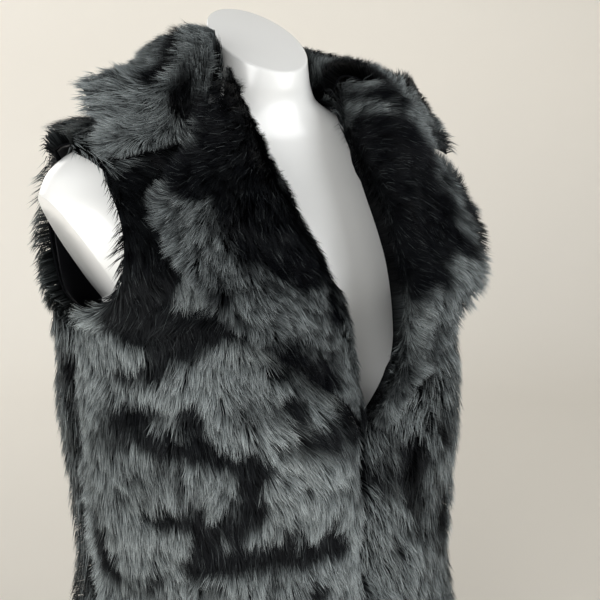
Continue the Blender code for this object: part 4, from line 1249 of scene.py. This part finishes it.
def fur_material():
    """Colour from the root to the tip, for a dark tuft and for a grey one, mixed by its tone."""
    material, nodes, links, shader = node_material("faux_fur_pile", 0.50, 0.06)
    uv = nodes.new("ShaderNodeUVMap")
    uv.uv_map = "OFBake"
    split = nodes.new("ShaderNodeSeparateXYZ")
    links.new(uv.outputs["UV"], split.inputs[0])
    mix = nodes.new("ShaderNodeMix")
    mix.data_type = "RGBA"
    for socket, stops in (("A", FUR_DARK), ("B", FUR_LIGHT)):
        shade = ramp(nodes, stops)
        links.new(split.outputs["Y"], shade.inputs["Fac"])
        links.new(shade.outputs["Color"], mix.inputs[socket])
    links.new(split.outputs["X"], mix.inputs["Factor"])
    links.new(mix.outputs["Result"], shader.inputs["Base Color"])
    return material


def grained_material(name, colour, roughness, gloss, grain, tints, relief, coat=(0.0, 0.03)):
    """A fine grain in the colour and the relief: satin, backing or moulded plastic."""
    material, nodes, links, shader = node_material(name, roughness, gloss)
    coordinates = nodes.new("ShaderNodeTexCoord")
    noise_node = nodes.new("ShaderNodeTexNoise")
    bump = nodes.new("ShaderNodeBump")
    links.new(coordinates.outputs["Object"], noise_node.inputs["Vector"])
    shade = ramp(nodes, [(place, tuple(tint * v for v in colour)) for place, tint in tints])
    links.new(noise_node.outputs["Fac"], shade.inputs["Fac"])
    links.new(shade.outputs["Color"], shader.inputs["Base Color"])
    links.new(noise_node.outputs["Fac"], bump.inputs["Height"])
    links.new(bump.outputs["Normal"], shader.inputs["Normal"])
    noise_node.inputs["Scale"].default_value, noise_node.inputs["Detail"].default_value = grain
    bump.inputs["Strength"].default_value, bump.inputs["Distance"].default_value = relief
    shader.inputs["Coat Weight"].default_value, shader.inputs["Coat Roughness"].default_value = coat
    return material


# Ramps from root to tip for the dark fur and the grey fur: the roots darkened with painted shade deep in the
# pile, and the grey fur's tips brightened with painted highlight where the strands catch the light
FUR_DARK = (
    (0.0, (0.0006, 0.0007, 0.0010)),
    (0.5, (0.0010, 0.0012, 0.0019)),
    (1.0, (0.0024, 0.0030, 0.0054)),
)
FUR_LIGHT = (
    (0.0, (0.0040, 0.0047, 0.0052)),
    (0.35, (0.0480, 0.0550, 0.0580)),
    (0.7, (0.2450, 0.2760, 0.2820)),
    (1.0, (0.6000, 0.6600, 0.6680)),
)


def torso_loops():
    """Rings of the form from its base up, with the cap tilted and its rim rounded."""
    heights = np.concatenate([
        np.linspace(BASE_Z, 0.48, 26),
        np.linspace(0.486, CAP_Z - CAP_RIM_DOWN, 70),
        CAP_Z - CAP_RIM_DOWN + CAP_RIM_DOWN * np.sin(np.linspace(0, math.pi / 2, 7)[1:]),
    ])
    angles = np.linspace(0, 2 * math.pi, 96, endpoint=False)
    loops = []
    for z in heights:
        ring = TORSO.at(angles, np.full(angles.shape, z))
        tilt = math.tan(math.radians(CAP_SLOPE)) * smooth_step((z - 0.70) / (CAP_Z - 0.70))
        centre = np.array([0.0, smooth_columns(TORSO_RINGS, z)[3]])
        rounding = CAP_RIM_IN * (1 - round_profile(CAP_Z - z, CAP_RIM_DOWN))
        away = ring[:, :2] - centre
        ring[:, :2] = away * (1 - rounding / np.linalg.norm(away, axis=1))[:, None] + centre
        ring[:, 2] += tilt * (ring[:, 1] - centre[1])
        loops.append(ring)
    return np.array(loops)


def modified(target, kind, **settings):
    """The object with a modifier put into its mesh."""
    modifier = target.modifiers.new("change", kind)
    for key, value in settings.items():
        setattr(modifier, key, value)
    with bpy.context.temp_override(object=target, active_object=target):
        bpy.ops.object.modifier_apply(modifier="change")


def make_torso(material):
    """The form's smooth shell, with both arms cut off by a slanted plane."""
    torso = new_object("torso_form", *solid_from_loops(torso_loops()), material)
    (x0, z0), (x1, z1) = ARM_CUT_LOW, ARM_CUT_HIGH
    slope = (x1 - x0) / (z1 - z0)
    sides = [(0, 1, 2, 3), (7, 6, 5, 4), (0, 4, 5, 1), (1, 5, 6, 2), (2, 6, 7, 3), (3, 7, 4, 0)]
    for side in (1, -1):
        corners = []
        for y in (-CUTTER_HALF_DEPTH, CUTTER_HALF_DEPTH):
            lean = y * ARM_CUT_TURN
            inner = (x0 - lean, z0), (x0 + CUTTER_UP * slope - lean, z0 + CUTTER_UP)
            for x, z in (*inner, (CUTTER_OUT, z0 + CUTTER_UP), (CUTTER_OUT, z0)):
                corners.append((side * x, y, z))
        mesh = bpy.data.meshes.new("arm_cutter")
        mesh.from_pydata(corners, [], sides)
        cutter = placed("arm_cutter", mesh)
        made = bmesh.new()
        made.from_mesh(mesh)
        bmesh.ops.recalc_face_normals(made, faces=made.faces)
        made.to_mesh(mesh)
        made.free()
        modified(torso, "BOOLEAN", object=cutter, operation="DIFFERENCE", solver="EXACT")
        bpy.data.objects.remove(cutter)
    limit = math.radians(35)
    modified(torso, "BEVEL", width=FORM_BEVEL, segments=2, limit_method="ANGLE", angle_limit=limit)
    torso.data.shade_smooth()
    torso.data.set_sharp_from_angle(angle=math.radians(40))
    return torso


def fur_look(**changes):
    """Settings of the pile, in metres and shares, with any changes for one panel."""
    return SimpleNamespace(**{**FUR_LOOK, **changes})


def tone_rule(table, base, seed):
    """How grey each tuft is: a base, soft seeded patches, and the listed patches."""

    def rule(foot, tuft, wisp):
        # The split of grey and dark tufts stands in part for the fur's own tones and in part for painted
        # sheen and painted shade
        broad = 0.70 * noise(foot, 0.052, seed) + 0.50 * noise(foot, 0.024, seed + 1)
        placed_tone = patch_tone(foot, table)
        edge = 0.35 * noise(foot, 0.011, seed + 2) + 0.30 * (tuft - 0.5) + 0.20 * (wisp - 0.5)
        open_share = smooth_step((broad + 1.5 * placed_tone + edge + DARK_SHARE) / 0.75)
        value = base + 0.24 * broad + 0.46 * (wisp - 0.5) + 0.16 * (tuft - 0.5)
        value = value + 0.25 * np.maximum(placed_tone, 0)
        return np.maximum(value, 0.08) * (DARK_FLOOR + (1 - DARK_FLOOR) * open_share)

    return rule


def lamp(light, place, aim):
    """A light at a place, turned towards its aim."""
    made = placed(light.name, light)
    made.location = place
    x, y, z = unit(np.array(aim) - np.array(place))
    made.rotation_euler = (math.acos(-z), 0.0, math.atan2(x, -y) + math.pi)


def backdrop():
    """A pale floor that curves up into a wall behind the part."""
    wall, _, _, shader = node_material("studio_backdrop", 0.95, 0.1)
    shader.inputs["Base Color"].default_value = (0.80, 0.765, 0.700, 1)
    profile = [(-FLOOR_REACH, 0.0), (WALL_START, 0.0)]
    for turn in np.radians(np.arange(1, 9) * 90 / 8):
        profile.append((WALL_START + WALL_TURN * math.sin(turn), WALL_TURN * (1 - math.cos(turn))))
    profile.append((WALL_START + WALL_TURN, 6.0))
    points = [(x, y, z) for x in (-FLOOR_REACH, FLOOR_REACH) for y, z in profile]
    n = len(profile)
    floor = bpy.data.meshes.new("studio_floor")
    floor.from_pydata(points, [], [(k, k + 1, n + k + 1, n + k) for k in range(n - 1)])
    floor.materials.append(wall)
    floor.shade_smooth()
    made = placed("studio_floor", floor)
    made.rotation_euler = (0, 0, CAMERA_HEADING)
    made.location = (0, 0, -0.0005)


def studio():
    """Soft lights, the room's own light and the camera."""
    world = bpy.data.worlds.new("studio_world")
    world.use_nodes = True
    nodes, links = world.node_tree.nodes, world.node_tree.links
    coordinates = nodes.new("ShaderNodeTexCoord")
    split = nodes.new("ShaderNodeSeparateXYZ")
    sky = ramp(nodes, SKY)
    links.new(coordinates.outputs["Generated"], split.inputs[0])
    links.new(split.outputs["Z"], sky.inputs["Fac"])
    links.new(sky.outputs["Color"], nodes["Background"].inputs["Color"])
    nodes["Background"].inputs["Strength"].default_value = 1.0
    bpy.context.scene.world = world
    for name, place, size, power, colour in LIGHTS:
        light = bpy.data.lights.new(name, "AREA")
        light.shape, light.size, light.energy, light.color = "DISK", size, power, colour
        lamp(light, place, LIGHT_AIM)
    beam = bpy.data.lights.new("wall_light", "SPOT")
    beam.energy, beam.spot_size, beam.spot_blend = WALL_WATTS, math.radians(95), 1.0
    beam.shadow_soft_size = 0.3
    lamp(beam, WALL_LIGHT, WALL_AIM)

    lens = bpy.data.cameras.new("photo_camera")
    lens.lens = CAMERA_FOCAL_PIXELS * SENSOR_WIDTH / IMAGE_PIXELS
    lens.sensor_width = SENSOR_WIDTH
    lens.clip_start = 0.01
    camera = placed("photo_camera", lens)
    camera.location = CAMERA_PLACE
    camera.rotation_euler = (math.radians(90 - CAMERA_PITCH), 0, CAMERA_HEADING)
    bpy.context.scene.camera = camera
    bpy.context.scene.view_settings.view_transform = "Standard"


CAMERA_AZIMUTH = math.radians(-32.0)
CAMERA_DISTANCE = 1.0
CAMERA_PLACE = (
    math.sin(CAMERA_AZIMUTH) * CAMERA_DISTANCE,
    -math.cos(CAMERA_AZIMUTH) * CAMERA_DISTANCE,
    0.712,
)
CAMERA_PITCH = 10.2
CAMERA_FOCAL_PIXELS = 1115.0
CAMERA_AXIS_COLUMN = 259.5
IMAGE_PIXELS = 600.0
SENSOR_WIDTH = 36.0
CAMERA_HEADING = CAMERA_AZIMUTH - math.atan((IMAGE_PIXELS / 2 - CAMERA_AXIS_COLUMN) / CAMERA_FOCAL_PIXELS)

FLOOR_REACH = 7.0
# Where the floor starts to curve up behind the form, and the radius of the curve
WALL_START = 1.60
WALL_TURN = 0.80
# A spot that lights the floor and wall behind the form alone
WALL_LIGHT = (0.7, 1.0, 2.6)
WALL_AIM = (0.8, 2.2, 0.2)
WALL_WATTS = 28.0
LIGHT_AIM = (0.0, 0.0, 0.5)
# The room's light by the sine of its elevation
SKY = (
    (0.0, (0.84, 0.825, 0.805)),
    (0.30, (0.50, 0.495, 0.485)),
    (0.70, (0.16, 0.16, 0.157)),
)
# Name, place, size, watts, colour
LIGHTS = (
    ("key_light", (-2.0, -1.8, 1.25), 1.4, 31.0, (1.0, 0.995, 0.98)),
    ("fill_light", (1.4, -2.2, 0.95), 1.8, 38.0, (0.98, 0.99, 1.0)),
    ("low_light", (-2.1, -0.6, 0.50), 1.8, 22.0, (1.0, 0.99, 0.97)),
    ("back_light", (-0.4, 2.4, 1.50), 1.8, 17.0, (1.0, 1.0, 1.0)),
)


def main():
    pile = fur_material()
    cloth = ((0.3, 0.7), (0.7, 1.3))
    backing = grained_material("fur_backing", BACKING_COLOUR, 0.90, 0.05, (900.0, 3.0), cloth, (0.25, 0.0006))
    satin = grained_material("black_satin", SATIN_COLOUR, 0.36, 0.35, (1600.0, 3.0), cloth, (0.10, 0.0006))
    moulded = ((0.2, 0.985), (0.8, 1.0))
    plastic = grained_material(
        "moulded_plastic", PLASTIC_COLOUR, 0.26, 0.5, (26.0, 2.0), moulded, (0.05, 0.001), (0.35, 0.12)
    )
    torso = make_torso(plastic)
    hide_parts("display_torso")

    # Base tones by piece: the front's grey is set lighter than the collar's and the lapels', in part painted
    # light and shade on the same fur
    lapel_tone = tone_rule(LAPEL_PATCHES, 0.38, 302)
    left, right = lapel_sheets(1, 44, 26), lapel_sheets(-1, 44, 26)
    neck = collar_sheets(34, 66)
    # Points along the lapels' outer edges and the collar's fall, beside which the body's pile is lowered and
    # darkened with painted shade
    over = np.concatenate([left.root[20::2, -1], right.root[20::2, -1], neck.root[0, ::2]])
    back = fur_look(tone=tone_rule((), 0.55, 304), width=0.0010, weight=back_first)
    front = {"tone": tone_rule(BODY_PATCHES, 0.82, 301), "over": over, "narrow": 0.9}
    short = {"length": 0.0125, "width": 0.00058, "wisp": 0.0036, "loft": 1.0, "narrow": 0.9}
    lapel = {"lean": 0.5, "tone": lapel_tone, **short}
    collar = fur_look(swirl=1.5, tone=tone_rule(COLLAR_PATCHES, 0.52, 303), least=0.008, **short)
    plans = (
        ("back_panel", body_sheets("back", 1, 56, 44), 50000, 1, back),
        ("left_front", body_sheets("front", 1, 56, 26), 42000, 1, fur_look(**front)),
        ("right_front", body_sheets("front", -1, 56, 26), 96000, 2, fur_look(weight=visible_first, **front)),
        ("left_lapel", left, 28000, 1, fur_look(least=0.009, droop=0.1, tips=2.5, **lapel)),
        ("right_lapel", right, 32000, 1, fur_look(least=0.007, droop=0.3, **lapel)),
        ("collar", neck, 54000, 1, collar),
    )
    for seed, (node, sheets, count, pieces, look) in enumerate(plans):
        shell = cloth_shell(f"{node}_backing", sheets.root, sheets.outward, BACKING_WALL, backing)
        fur = grow_fur(f"{node}_fur", sheets, count, pieces, 1000 + 100 * seed, look, pile)
        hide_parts(node)
        state_cut(node, sheets.root)
        if node in LININGS:
            inner, outward = sheets.lining[1:-1, 1:-1], sheets.outward[1:-1, 1:-1]
            liner = cloth_shell(f"{LININGS[node]}_satin", inner, outward, LINING_WALL, satin)
            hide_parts(LININGS[node])
            state_cut(LININGS[node], inner)
    backdrop()
    studio()


def state_cut(node, sheet):
    """Prints the node's name and its sheet's size laid flat."""
    wide, tall, area = flat_size(sheet)
    area = min(area, wide * tall)
    print("cut", node, round(wide, 3), round(tall, 3), round(area, 4))


def visible_first(points):
    """More blades where the pile is seen close to."""
    return 0.55 + 0.45 * smooth_step((points[..., 2] - 0.24) / 0.08)


def back_first(points):
    """More blades at the sides and shoulders than over the middle of the back."""
    side = smooth_step((np.abs(points[..., 0]) - 0.10) / 0.05)
    return 0.6 + 0.8 * side * smooth_step((points[..., 2] - 0.30) / 0.1)


main()
